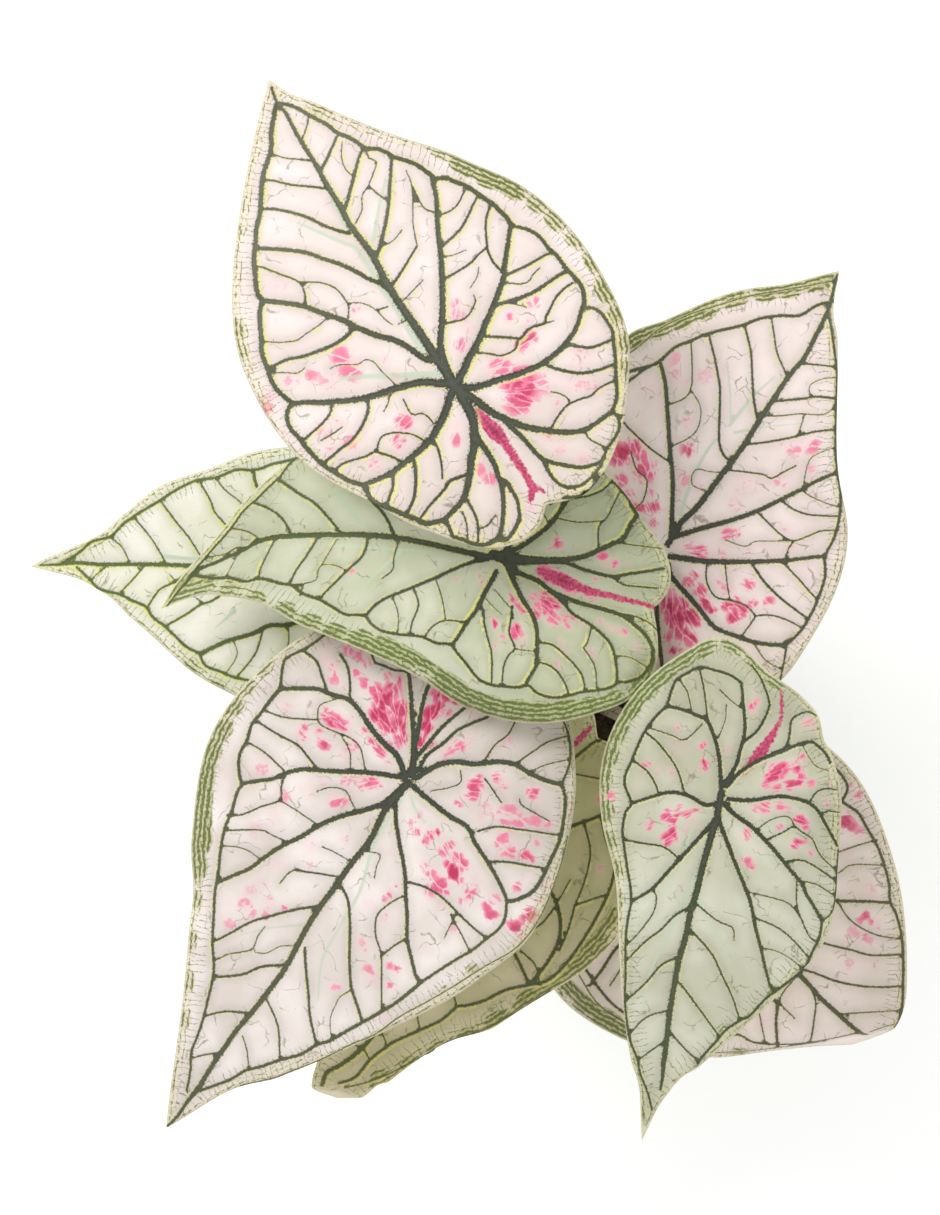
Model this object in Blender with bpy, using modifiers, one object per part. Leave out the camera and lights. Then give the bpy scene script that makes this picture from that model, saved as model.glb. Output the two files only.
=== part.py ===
"""Caladium in a nursery pot, built as eight leaves on their stalks, the potting soil and the pot.

Metres, +Z up. The origin is the centre of the pot's flat underside. Seen from above, +X is to the
right and +Y is away from the viewer. Each leaf blade is a polar net round the point where its stalk
meets it: the net is stretched to the blade's heart-shaped margin and then bent by one height formula.
"""

import math
from collections import namedtuple

import bmesh
import bpy
from mathutils import Vector, noise

MM = 0.001

# Pot, mm: a plain tapered pot of the 13.5 cm size
POT_HEIGHT = 118.0
RIM_RADIUS = 67.5
RIM_BAND = 15.0
RIM_STEP = 3.0
FOOT_RADIUS = 47.0
POT_WALL = 2.2
POT_FLOOR = 3.0
POT_SIDES = 48
DRAIN_HOLES = 6
DRAIN_RADIUS = 4.0
DRAIN_RING = 31.0

# Soil, mm
SOIL_TOP = 103.0
SOIL_MOUND = 4.0
SOIL_LUMP = 1.6
SOIL_EDGE_GAP = 1.2
TOUCH_GAP = 0.35

# Stalks, mm: they leave the soil on a ring round the middle
STALK_RING = 14.5
STALK_DEPTH = 13.0
STALK_FOOT_RADIUS = 3.4
STALK_TOP_RADIUS = 2.1
STALK_SEGMENTS = 9
HOLE_CLEARANCE = 0.8

# Blades, mm: the spokes and rings of the polar net, and where the main veins run round it
BLADE_THICKNESS = 0.9
SPOKES_A_SIDE = 20
RINGS = (0.1, 0.3, 0.5, 0.65, 0.76, 0.84, 0.92, 1.0)
SPOKE_CROWDING = 0.55
MAIN_VEINS_DEG = (0, 29, 51, 90, 139, 163, 180, 211, 245, 292, 324, 360)
QUILT = 2.2
FURROW_SOFTNESS = 9.0
FOLD_RADIUS = 8.0
FOLD_TURN_DEG = 82.0

Leaf = namedtuple(
    "Leaf",
    "hub tip right notch left pitch roll droop lobe_fall arch base_arch furrow ripple waves"
    " bow groove curl fold foot_deg lean",
)

# hub: where stalk and blade meet. tip, right, notch, left: the margin in plan, clockwise from the tip.
# pitch, roll: slope of the blade in degrees, tip down and right side down. droop, lobe_fall, arch,
# furrow, ripple, bow, groove: how far the tip, the lobes and the sides fall, the sides rise from the
# midrib, the margin waves, the tip swings aside and the notch line sinks, mm. curl: where the margin
# turns down, as (middle deg, half width deg, mm). fold: a line past which the blade hangs down, as
# (normal deg, distance mm). foot_deg: the stalk's place on its ring, from +Y clockwise.
# lean: the point (x, y, z) that the stalk heads for as it leaves the soil, before it bends to the hub.
LEAVES = {
    "upper": Leaf(
        hub=(-57, 122, 330), tip=(-134, 250),
        right=[(-128, 246), (-114, 240), (-54, 217), (-30, 206), (5, 167), (15, 142), (15, 123), (0, 80)],
        notch=(-19, 73),
        left=[(-22, 64), (-70, 63), (-91, 74), (-122, 93), (-144, 128), (-136, 243)],
        pitch=8, roll=-2, droop=14, lobe_fall=5, arch=11, base_arch=0.6, furrow=8, ripple=2.0, waves=5,
        bow=-4, groove=4, curl=(32, 34, 7), fold=None, foot_deg=-8, lean=(-26, 62, 175)),
    "right": Leaf(
        hub=(33, 55, 268), tip=(105, 172),
        right=[(103, 162), (104, 143), (105, 81), (108, 65), (91, 15), (80, 0), (31, -14), (19, -11)],
        notch=(12, 1),
        left=[(-10, 86), (-4, 105), (4, 126), (16, 145), (31, 151), (64, 164), (85, 167)],
        pitch=5, roll=4, droop=12, lobe_fall=16, arch=9, base_arch=0.8, furrow=8, ripple=2.0, waves=5,
        bow=0, groove=4, curl=(318, 30, 6), fold=None, foot_deg=40, lean=(10, 24, 190)),
    "left": Leaf(
        hub=(-85, 44, 232), tip=(-237, 48),
        right=[(-210, 60), (-197, 70), (-183, 81), (-161, 89), (-146, 95), (-114, 98), (-61, 71), (-54, 54)],
        notch=(-58, 41),
        left=[(-54, 29), (-74, -6), (-138, -14), (-150, -7), (-165, 1), (-194, 26), (-208, 38), (-218, 43)],
        pitch=7, roll=-4, droop=14, lobe_fall=8, arch=14, base_arch=0.8, furrow=7, ripple=1.6, waves=4,
        bow=0, groove=3, curl=(300, 30, 4), fold=None, foot_deg=-90, lean=(-38, 16, 165)),
    "middle": Leaf(
        hub=(-40, 50, 290), tip=(-180, 30),
        right=[(-172, 43), (-161, 55), (-145, 75), (-80, 105), (-55, 105), (18, 72), (30, 34)],
        notch=(26, 30),
        left=[(25, 1), (-3, -15), (-53, -11), (-70, 0), (-119, 22), (-152, 35), (-166, 35)],
        pitch=7, roll=0, droop=20, lobe_fall=5, arch=13, base_arch=0.9, furrow=9, ripple=2.2, waves=5,
        bow=-48, groove=5, curl=(262, 46, 12), fold=None, foot_deg=-50, lean=(-22, 26, 195)),
    "lower_left": Leaf(
        hub=(-76, -40, 252), tip=(-179, -190),
        right=[(-176, -165), (-168, -98), (-168, -68), (-158, -20), (-144, -1), (-71, 28)],
        notch=(-43, 10),
        left=[(-29, 12), (-16, 0), (-6, -40), (-15, -86), (-26, -109), (-48, -127), (-131, -168),
              (-158, -177)],
        pitch=8, roll=0, droop=16, lobe_fall=8, arch=13, base_arch=0.8, furrow=9, ripple=2.2, waves=5,
        bow=0, groove=4, curl=(40, 34, 7), fold=None, foot_deg=-128, lean=(-30, 1, 185)),
    "lower_right": Leaf(
        hub=(56, -48, 295), tip=(22, -194),
        right=[(21, -175), (17, -159), (14, -139), (5, -61), (5, -32), (37, 11), (54, 18), (73, 4)],
        notch=(88, -7),
        left=[(94, -14), (97, -25), (103, -41), (103, -79), (96, -112), (83, -127), (46, -162), (34, -172),
              (27, -183)],
        pitch=12, roll=0, droop=26, lobe_fall=8, arch=27, base_arch=0.35, furrow=10, ripple=2.6, waves=6,
        bow=0, groove=6, curl=(96, 60, 8), fold=None, foot_deg=150, lean=(12, -14, 200)),
    "back_left": Leaf(
        hub=(-40, -71, 198), tip=(-112, -202),
        right=[(-118, -184), (-117, -168), (-113, -157), (-102, -137), (-67, -79), (-50, -55),
               (-32, -34), (-16, -18), (-2, -11)],
        notch=(4, -25),
        left=[(22, -36), (26, -73), (-3, -125), (-38, -147), (-84, -171), (-97, -181)],
        pitch=6, roll=-3, droop=8, lobe_fall=5, arch=10, base_arch=0.8, furrow=7, ripple=1.6, waves=5,
        bow=0, groove=4, curl=(300, 40, 6), fold=(191.5, 187), foot_deg=-168, lean=(-14, -38, 146)),
    "back_right": Leaf(
        hub=(41, -78, 162), tip=(120, -190),
        right=[(102, -175), (55, -164), (14, -154), (-13, -135), (-23, -116), (-12, -55)],
        notch=(10, -46),
        left=[(29, -24), (113, -39), (130, -74), (137, -122), (136, -140), (131, -154)],
        pitch=3, roll=0, droop=5, lobe_fall=4, arch=9, base_arch=0.8, furrow=7, ripple=1.6, waves=5,
        bow=0, groove=4, curl=(320, 30, 4), fold=(171, 162), foot_deg=95, lean=(28, -36, 126)),
}

# Colours, linear: the blades differ in how green and how pink their ground is
BLADE_COLOURS = {
    "upper": (0.86, 0.78, 0.74), "right": (0.84, 0.74, 0.70), "left": (0.80, 0.82, 0.62),
    "middle": (0.62, 0.70, 0.50), "lower_left": (0.82, 0.76, 0.70), "lower_right": (0.60, 0.68, 0.47),
    "back_left": (0.74, 0.74, 0.50), "back_right": (0.85, 0.76, 0.70),
}
STALK_COLOUR = (0.24, 0.22, 0.15)
POT_COLOUR = (0.03, 0.03, 0.03)
SOIL_COLOUR = (0.055, 0.040, 0.025)


def clear_scene():
    for obj in list(bpy.data.objects):
        bpy.data.objects.remove(obj, do_unlink=True)


def new_collection(name):
    collection = bpy.data.collections.new(name)
    bpy.context.scene.collection.children.link(collection)
    return collection


def material(name, colour, roughness):
    made = bpy.data.materials.new(name)
    made.use_nodes = True
    shader = made.node_tree.nodes["Principled BSDF"]
    shader.inputs["Base Color"].default_value = (*colour, 1.0)
    shader.inputs["Roughness"].default_value = roughness
    shader.inputs["Metallic"].default_value = 0.0
    return made


def object_from_bmesh(name, bm, collection):
    mesh = bpy.data.meshes.new(name)
    bm.to_mesh(mesh)
    bm.free()
    obj = bpy.data.objects.new(name, mesh)
    collection.objects.link(obj)
    return obj


def smooth(obj, degrees):
    obj.data.shade_smooth()
    obj.data.set_sharp_from_angle(angle=math.radians(degrees))


def add_cut(obj, cutter):
    cutter.hide_render = True
    cutter.display_type = "WIRE"
    cut = obj.modifiers.new("cut", "BOOLEAN")
    cut.operation = "DIFFERENCE"
    cut.object = cutter


def turned(name, profile, sides, collection):
    """Spin a profile of (radius, height) in mm round the Z axis."""
    bm = bmesh.new()
    points = [bm.verts.new((radius * MM, 0, height * MM)) for radius, height in profile]
    for start, end in zip(points, points[1:]):
        bm.edges.new((start, end))
    obj = object_from_bmesh(name, bm, collection)
    screw = obj.modifiers.new("turn", "SCREW")
    screw.steps = screw.render_steps = sides
    screw.use_merge_vertices = True
    screw.merge_threshold = 0.00001
    return obj


def pot_inside(height):
    """Inner radius of the pot at a height, mm."""
    wall_top = POT_HEIGHT - RIM_BAND
    shoulder = RIM_RADIUS - RIM_STEP
    outer = FOOT_RADIUS + (shoulder - FOOT_RADIUS) * min(height / wall_top, 1.0)
    return outer - POT_WALL


def make_pot(collection, cutters):
    wall_top = POT_HEIGHT - RIM_BAND
    shoulder = RIM_RADIUS - RIM_STEP
    profile = [
        (0, POT_FLOOR),
        (pot_inside(POT_FLOOR), POT_FLOOR),
        (pot_inside(wall_top), wall_top),
        (RIM_RADIUS - POT_WALL, wall_top + 4),
        (RIM_RADIUS - POT_WALL, POT_HEIGHT - 1),
        (RIM_RADIUS - POT_WALL + 1, POT_HEIGHT),
        (RIM_RADIUS - 0.5, POT_HEIGHT),
        (RIM_RADIUS, POT_HEIGHT - 1),
        (RIM_RADIUS - 0.8, wall_top + 0.8),
        (RIM_RADIUS - 1.6, wall_top),
        (shoulder, wall_top),
        (FOOT_RADIUS + 1, 6),
        (FOOT_RADIUS - 1.5, 0),
        (0, 0),
    ]
    pot = turned("pot", profile, POT_SIDES, collection)
    holes = bmesh.new()
    for turn in range(DRAIN_HOLES):
        angle = 2 * math.pi * turn / DRAIN_HOLES
        made = bmesh.ops.create_cone(
            holes, cap_ends=True, segments=12, radius1=DRAIN_RADIUS * MM, radius2=DRAIN_RADIUS * MM,
            depth=4 * POT_FLOOR * MM)
        place = Vector((math.cos(angle), math.sin(angle), 0)) * DRAIN_RING * MM
        bmesh.ops.translate(holes, verts=made["verts"], vec=place)
    add_cut(pot, object_from_bmesh("drain_holes", holes, cutters))
    smooth(pot, 30)
    pot.data.materials.append(material("matte black polypropylene", POT_COLOUR, 0.55))
    return pot


def soil_height(x, y):
    """Top of the soil, mm: a low mound round the crown with small lumps."""
    reach = math.hypot(x, y) / pot_inside(SOIL_TOP)
    lump = noise.noise(Vector((x, y, 0)) / 9.0) + 0.5 * noise.noise(Vector((x, y, 40)) / 4.0)
    return SOIL_TOP + SOIL_MOUND * (1 - reach * reach) + SOIL_LUMP * lump


def make_soil(collection, cutters):
    low = POT_FLOOR + TOUCH_GAP
    bottom_radius = pot_inside(low) - TOUCH_GAP
    top_radius = pot_inside(SOIL_TOP) - SOIL_EDGE_GAP
    rings = [(top_radius * part, SOIL_TOP) for part in (0, 0.2, 0.42, 0.64, 0.84, 1.0)]
    shoulder = pot_inside(SOIL_TOP - 6) - TOUCH_GAP
    profile = rings + [(shoulder, SOIL_TOP - 6), (bottom_radius, low), (0, low)]
    blank = turned("soil_blank", profile, POT_SIDES, collection)
    mesh = bpy.data.meshes.new_from_object(blank.evaluated_get(bpy.context.evaluated_depsgraph_get()))
    bpy.data.objects.remove(blank, do_unlink=True)
    for vertex in mesh.vertices:
        if vertex.co.z > (SOIL_TOP - 1) * MM:
            vertex.co.z = soil_height(vertex.co.x / MM, vertex.co.y / MM) * MM
    soil = bpy.data.objects.new("soil", mesh)
    collection.objects.link(soil)
    holes = bmesh.new()
    for leaf in LEAVES.values():
        foot, way = stalk_foot(leaf), stalk_way(leaf)
        radius = (STALK_FOOT_RADIUS + HOLE_CLEARANCE) * MM
        depth = 3 * STALK_DEPTH * MM
        made = bmesh.ops.create_cone(
            holes, cap_ends=True, segments=12, radius1=radius, radius2=radius, depth=depth)
        bottom = foot * MM - way * TOUCH_GAP * MM
        turn = way.to_track_quat("Z", "Y").to_matrix()
        bmesh.ops.rotate(holes, verts=made["verts"], cent=(0, 0, 0), matrix=turn)
        bmesh.ops.translate(holes, verts=made["verts"], vec=bottom + way * depth / 2)
    add_cut(soil, object_from_bmesh("stalk_holes", holes, cutters))
    smooth(soil, 60)
    soil.data.materials.clear()
    soil.data.materials.append(material("damp potting soil", SOIL_COLOUR, 0.95))
    return soil


def curve_through(points, at):
    """Height at one place on a smooth curve through (place, height) points."""
    places = [place for place, _ in points]
    heights = [height for _, height in points]
    last = len(points) - 1
    slopes = [(heights[i + 1] - heights[i]) / (places[i + 1] - places[i]) for i in range(last)]
    tangents = [slopes[0]] + [0.0] * (last - 1) + [slopes[-1]]
    for i in range(1, last):
        before, after = places[i] - places[i - 1], places[i + 1] - places[i]
        steepest = 3 * min(abs(slopes[i - 1]), abs(slopes[i]))
        mean = (slopes[i - 1] * after + slopes[i] * before) / (before + after)
        tangents[i] = max(-steepest, min(steepest, mean))
    i = 0
    while i < last - 1 and at > places[i + 1]:
        i += 1
    span = places[i + 1] - places[i]
    t = (at - places[i]) / span
    rise = heights[i] * (2 * t**3 - 3 * t**2 + 1) + heights[i + 1] * (3 * t**2 - 2 * t**3)
    return rise + span * (tangents[i] * (t**3 - 2 * t**2 + t) + tangents[i + 1] * (t**3 - t**2))


class Blade:
    """One leaf blade in its own plan axes: forward from hub to tip, and aside to its right."""

    def __init__(self, leaf):
        self.leaf = leaf
        across = Vector((leaf.tip[0] - leaf.hub[0], leaf.tip[1] - leaf.hub[1]))
        self.length = math.sqrt(across.length_squared - leaf.bow**2)
        heading = math.atan2(across.y, across.x) + math.asin(leaf.bow / across.length)
        self.forward = Vector((math.cos(heading), math.sin(heading)))
        self.aside = Vector((self.forward.y, -self.forward.x))
        self.half_width = 0.47 * self.length
        notch = self.polar(leaf.notch)
        self.notch_deg = notch[0]
        self.right = [(0.0, self.length)] + [self.polar(p) for p in leaf.right] + [notch]
        self.left = [notch] + [self.polar(p) for p in leaf.left] + [(360.0, self.length)]

    def polar(self, point):
        offset = Vector((point[0] - self.leaf.hub[0], point[1] - self.leaf.hub[1]))
        ahead, side = offset.dot(self.forward), offset.dot(self.aside)
        side -= self.leaf.bow * max(ahead / self.length, 0) ** 3
        return math.degrees(math.atan2(side, ahead)) % 360, math.hypot(ahead, side)

    def margin(self, degrees):
        """Distance from hub to margin in one direction, mm."""
        side = self.right if degrees <= self.notch_deg else self.left
        return curve_through(side, degrees)

    def vein_gap(self, degrees):
        """0 on a main vein and 1 halfway between two."""
        for start, end in zip(MAIN_VEINS_DEG, MAIN_VEINS_DEG[1:]):
            if degrees <= end:
                return math.sin(math.pi * (degrees - start) / (end - start)) ** 2
        return 0.0

    def height(self, degrees, part):
        """Height over the hub, mm, at a direction and a part of the way to the margin."""
        leaf = self.leaf
        angle = math.radians(degrees)
        reach = self.margin(degrees) * part
        ahead, side = reach * math.cos(angle), reach * math.sin(angle)
        front = min(max((ahead / self.length + 0.35) / 0.6, 0.0), 1.0)
        front = front * front * (3 - 2 * front)
        arch = leaf.arch * (leaf.base_arch + (1 - leaf.base_arch) * front)
        z = -ahead * math.tan(math.radians(leaf.pitch)) - side * math.tan(math.radians(leaf.roll))
        z -= leaf.droop * (max(ahead, 0) / self.length) ** 2
        z -= leaf.lobe_fall * (min(ahead, 0) / (0.42 * self.length)) ** 2
        z -= arch * (side / self.half_width) ** 2
        z += leaf.furrow * (math.hypot(side, FURROW_SOFTNESS) - FURROW_SOFTNESS) / self.half_width
        z += QUILT * 4 * part * (1 - part) * self.vein_gap(degrees)
        z += leaf.ripple * part**3 * math.sin(leaf.waves * angle)
        off_notch = math.radians(degrees - self.notch_deg) * reach
        z -= leaf.groove * part * math.exp(-((off_notch / 9.0) ** 2))
        if leaf.curl:
            middle, half, depth = leaf.curl
            near = max(1 - abs((degrees - middle + 180) % 360 - 180) / half, 0.0)
            z -= depth * near * near * (3 - 2 * near) * max((part - 0.78) / 0.22, 0.0) ** 2
        return z

    def folded(self, point):
        """Hang down what lies past the blade's fold line."""
        if not self.leaf.fold:
            return point
        normal_deg, distance = self.leaf.fold
        normal = Vector((math.sin(math.radians(normal_deg)), math.cos(math.radians(normal_deg)), 0))
        past = point.x * normal.x + point.y * normal.y - distance
        if past <= 0:
            return point
        most = math.radians(FOLD_TURN_DEG)
        turn = min(past / FOLD_RADIUS, most)
        straight = max(past - FOLD_RADIUS * most, 0.0)
        out = FOLD_RADIUS * math.sin(turn) + straight * math.cos(most)
        down = FOLD_RADIUS * (1 - math.cos(turn)) + straight * math.sin(most)
        return point + normal * (out - past) - Vector((0, 0, down))

    def point(self, degrees, part):
        """A place on the upper face, mm, in the plant's own axes."""
        angle = math.radians(degrees)
        reach = self.margin(degrees) * part
        ahead, side = reach * math.cos(angle), reach * math.sin(angle)
        side += self.leaf.bow * max(ahead / self.length, 0) ** 3
        plan = self.forward * ahead + self.aside * side
        hub = Vector(self.leaf.hub)
        return self.folded(hub + Vector((plan.x, plan.y, self.height(degrees, part))))

    def hub_normal(self):
        """Upward normal of the blade at its hub."""
        near = 0.06
        ahead = self.point(0, near) - self.point(180, near)
        aside = self.point(90, near) - self.point(270, near)
        return aside.cross(ahead).normalized()


def spoke_degrees(blade):
    """Directions of the net's spokes, closer together at the tip and at the notch."""
    def crowded(step):
        t = step / SPOKES_A_SIDE
        return t - SPOKE_CROWDING * math.sin(2 * math.pi * t) / (2 * math.pi)

    right = [blade.notch_deg * crowded(step) for step in range(SPOKES_A_SIDE)]
    rest = 360 - blade.notch_deg
    left = [blade.notch_deg + rest * crowded(step) for step in range(SPOKES_A_SIDE + 1)]
    return right + left


def make_blade(name, leaf, collection):
    """A flat grid is wrapped round the hub, one side along the margin, and given its thickness."""
    blade = Blade(leaf)
    spokes = spoke_degrees(blade)
    rings = (0.0,) + RINGS
    bm = bmesh.new()
    bmesh.ops.create_grid(bm, x_segments=len(spokes) - 1, y_segments=len(rings) - 1, size=0.5)
    for vertex in bm.verts:
        spoke = round((vertex.co.x + 0.5) * (len(spokes) - 1))
        ring = round((vertex.co.y + 0.5) * (len(rings) - 1))
        vertex.co = blade.point(spokes[spoke], rings[ring]) * MM
    bmesh.ops.remove_doubles(bm, verts=bm.verts, dist=0.00001)
    bmesh.ops.triangulate(bm, faces=bm.faces)
    bmesh.ops.recalc_face_normals(bm, faces=bm.faces)
    if sum(face.normal.z for face in bm.faces) < 0:
        bmesh.ops.reverse_faces(bm, faces=bm.faces)
    obj = object_from_bmesh(name, bm, collection)
    thicken = obj.modifiers.new("thickness", "SOLIDIFY")
    thicken.thickness = BLADE_THICKNESS * MM
    thicken.offset = -1.0
    smooth(obj, 50)
    return obj


def stalk_foot(leaf):
    """Where the stalk starts, below the soil's face, mm."""
    angle = math.radians(leaf.foot_deg)
    height = SOIL_TOP + SOIL_MOUND - STALK_DEPTH
    return Vector((math.sin(angle) * STALK_RING, math.cos(angle) * STALK_RING, height))


def stalk_way(leaf):
    """Direction in which the stalk leaves the soil."""
    return (Vector(leaf.lean) - stalk_foot(leaf)).normalized()


def make_stalk(name, leaf, collection):
    """A tapered tube, straight in the soil and then on one Bezier span to just under the hub."""
    normal = Blade(leaf).hub_normal()
    top = Vector(leaf.hub) - normal * (BLADE_THICKNESS + TOUCH_GAP)
    foot, lean = stalk_foot(leaf), Vector(leaf.lean)
    collar = foot + stalk_way(leaf) * STALK_DEPTH * 1.3
    curve = bpy.data.curves.new(name, "CURVE")
    curve.dimensions = "3D"
    curve.bevel_depth = STALK_FOOT_RADIUS * MM
    curve.bevel_resolution = 2
    curve.resolution_u = STALK_SEGMENTS
    curve.use_fill_caps = True
    spline = curve.splines.new("BEZIER")
    spline.bezier_points.add(2)
    start, knee, end = spline.bezier_points
    reach = (top - lean).length * 0.45
    for bezier, place, before, after in (
        (start, foot, foot, collar),
        (knee, collar, foot, lean),
        (end, top, top - normal * reach, top + normal * reach),
    ):
        bezier.handle_left_type = bezier.handle_right_type = "FREE"
        bezier.co = place * MM
        bezier.handle_left = before * MM
        bezier.handle_right = after * MM
    end.radius = STALK_TOP_RADIUS / STALK_FOOT_RADIUS
    obj = bpy.data.objects.new(name, curve)
    collection.objects.link(obj)
    return obj


def main():
    clear_scene()
    parts = new_collection("caladium")
    cutters = new_collection("cutters")
    plant = bpy.data.objects.new("plant", None)
    parts.objects.link(plant)
    make_pot(parts, cutters).parent = plant
    make_soil(parts, cutters).parent = plant
    stalk_skin = material("speckled stalk skin", STALK_COLOUR, 0.5)
    for name, leaf in LEAVES.items():
        stalk = make_stalk("stalk_" + name, leaf, parts)
        stalk.data.materials.append(stalk_skin)
        stalk.parent = plant
        blade = make_blade("blade_" + name, leaf, parts)
        blade.data.materials.append(material("blade " + name, BLADE_COLOURS[name], 0.45))
        blade.parent = plant


main()
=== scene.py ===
# %% [markdown]
# # A potted caladium from above
#
# Eight heart-shaped leaves on arching stalks, printed by nature with dark veins, yellow edges and
# pink blotches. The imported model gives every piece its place. This lesson gives each leaf a finer
# sheet that carries its veins, then dresses stalks, soil and pot, and lights them for a portrait
# taken from straight above.

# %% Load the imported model
import math
from collections import namedtuple

import bmesh
import bpy
import numpy as np
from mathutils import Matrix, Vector, geometry, noise


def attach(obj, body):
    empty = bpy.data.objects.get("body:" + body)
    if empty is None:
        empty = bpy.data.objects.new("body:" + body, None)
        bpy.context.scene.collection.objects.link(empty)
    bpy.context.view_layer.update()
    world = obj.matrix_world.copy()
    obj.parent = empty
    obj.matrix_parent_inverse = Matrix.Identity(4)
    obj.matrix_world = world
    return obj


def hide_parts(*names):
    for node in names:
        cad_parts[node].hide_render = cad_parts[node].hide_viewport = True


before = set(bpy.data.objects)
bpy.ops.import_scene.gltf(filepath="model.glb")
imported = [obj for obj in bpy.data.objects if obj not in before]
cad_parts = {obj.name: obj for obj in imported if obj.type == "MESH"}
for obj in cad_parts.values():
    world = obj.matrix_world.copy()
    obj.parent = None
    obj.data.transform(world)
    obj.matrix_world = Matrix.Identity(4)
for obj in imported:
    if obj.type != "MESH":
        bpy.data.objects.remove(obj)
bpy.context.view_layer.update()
MM = 0.001
rng = np.random.default_rng(7)
print("packed nodes:", len(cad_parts))

# %% [markdown]
# ## The camera
#
# The portrait was taken from straight above, from far enough away that nothing looks slanted. Five
# metres up with a long lens does that. At 4.75 m the picture is 510 mm tall, which sets the lens.

# %% Camera
PICTURE = (940, 1215)
CAMERA_AT = (-50.4, 30.45, 5000.0)
SENSOR, SEEN_TALL, SEEN_AT = 36.0, 510.3, 4750.0

scene = bpy.context.scene
lens = bpy.data.cameras.new("camera")
lens.sensor_fit = "VERTICAL"
lens.sensor_height = SENSOR
lens.lens = SENSOR * SEEN_AT / SEEN_TALL
lens.clip_end = 50
camera = bpy.data.objects.new("camera", lens)
camera.location = Vector(CAMERA_AT) * MM
scene.collection.objects.link(camera)
scene.camera = camera
print("lens %.0f mm" % lens.lens)

# %% [markdown]
# ## Eight leaves and one formula
#
# A leaf is described by its hub, where the stalk meets the blade, and by a heart-shaped margin read
# as distances from the hub in every direction. `polar` gives the direction and the distance of a
# place, `height` says how far the blade rises or falls there, and `folded` lets the far end of two
# leaves hang down.

# %% Leaf shapes
Leaf = namedtuple(
    "Leaf",
    "hub tip right notch left pitch roll droop lobe_fall arch base_arch furrow ripple waves"
    " bow groove curl fold foot_deg lean",
)

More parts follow.
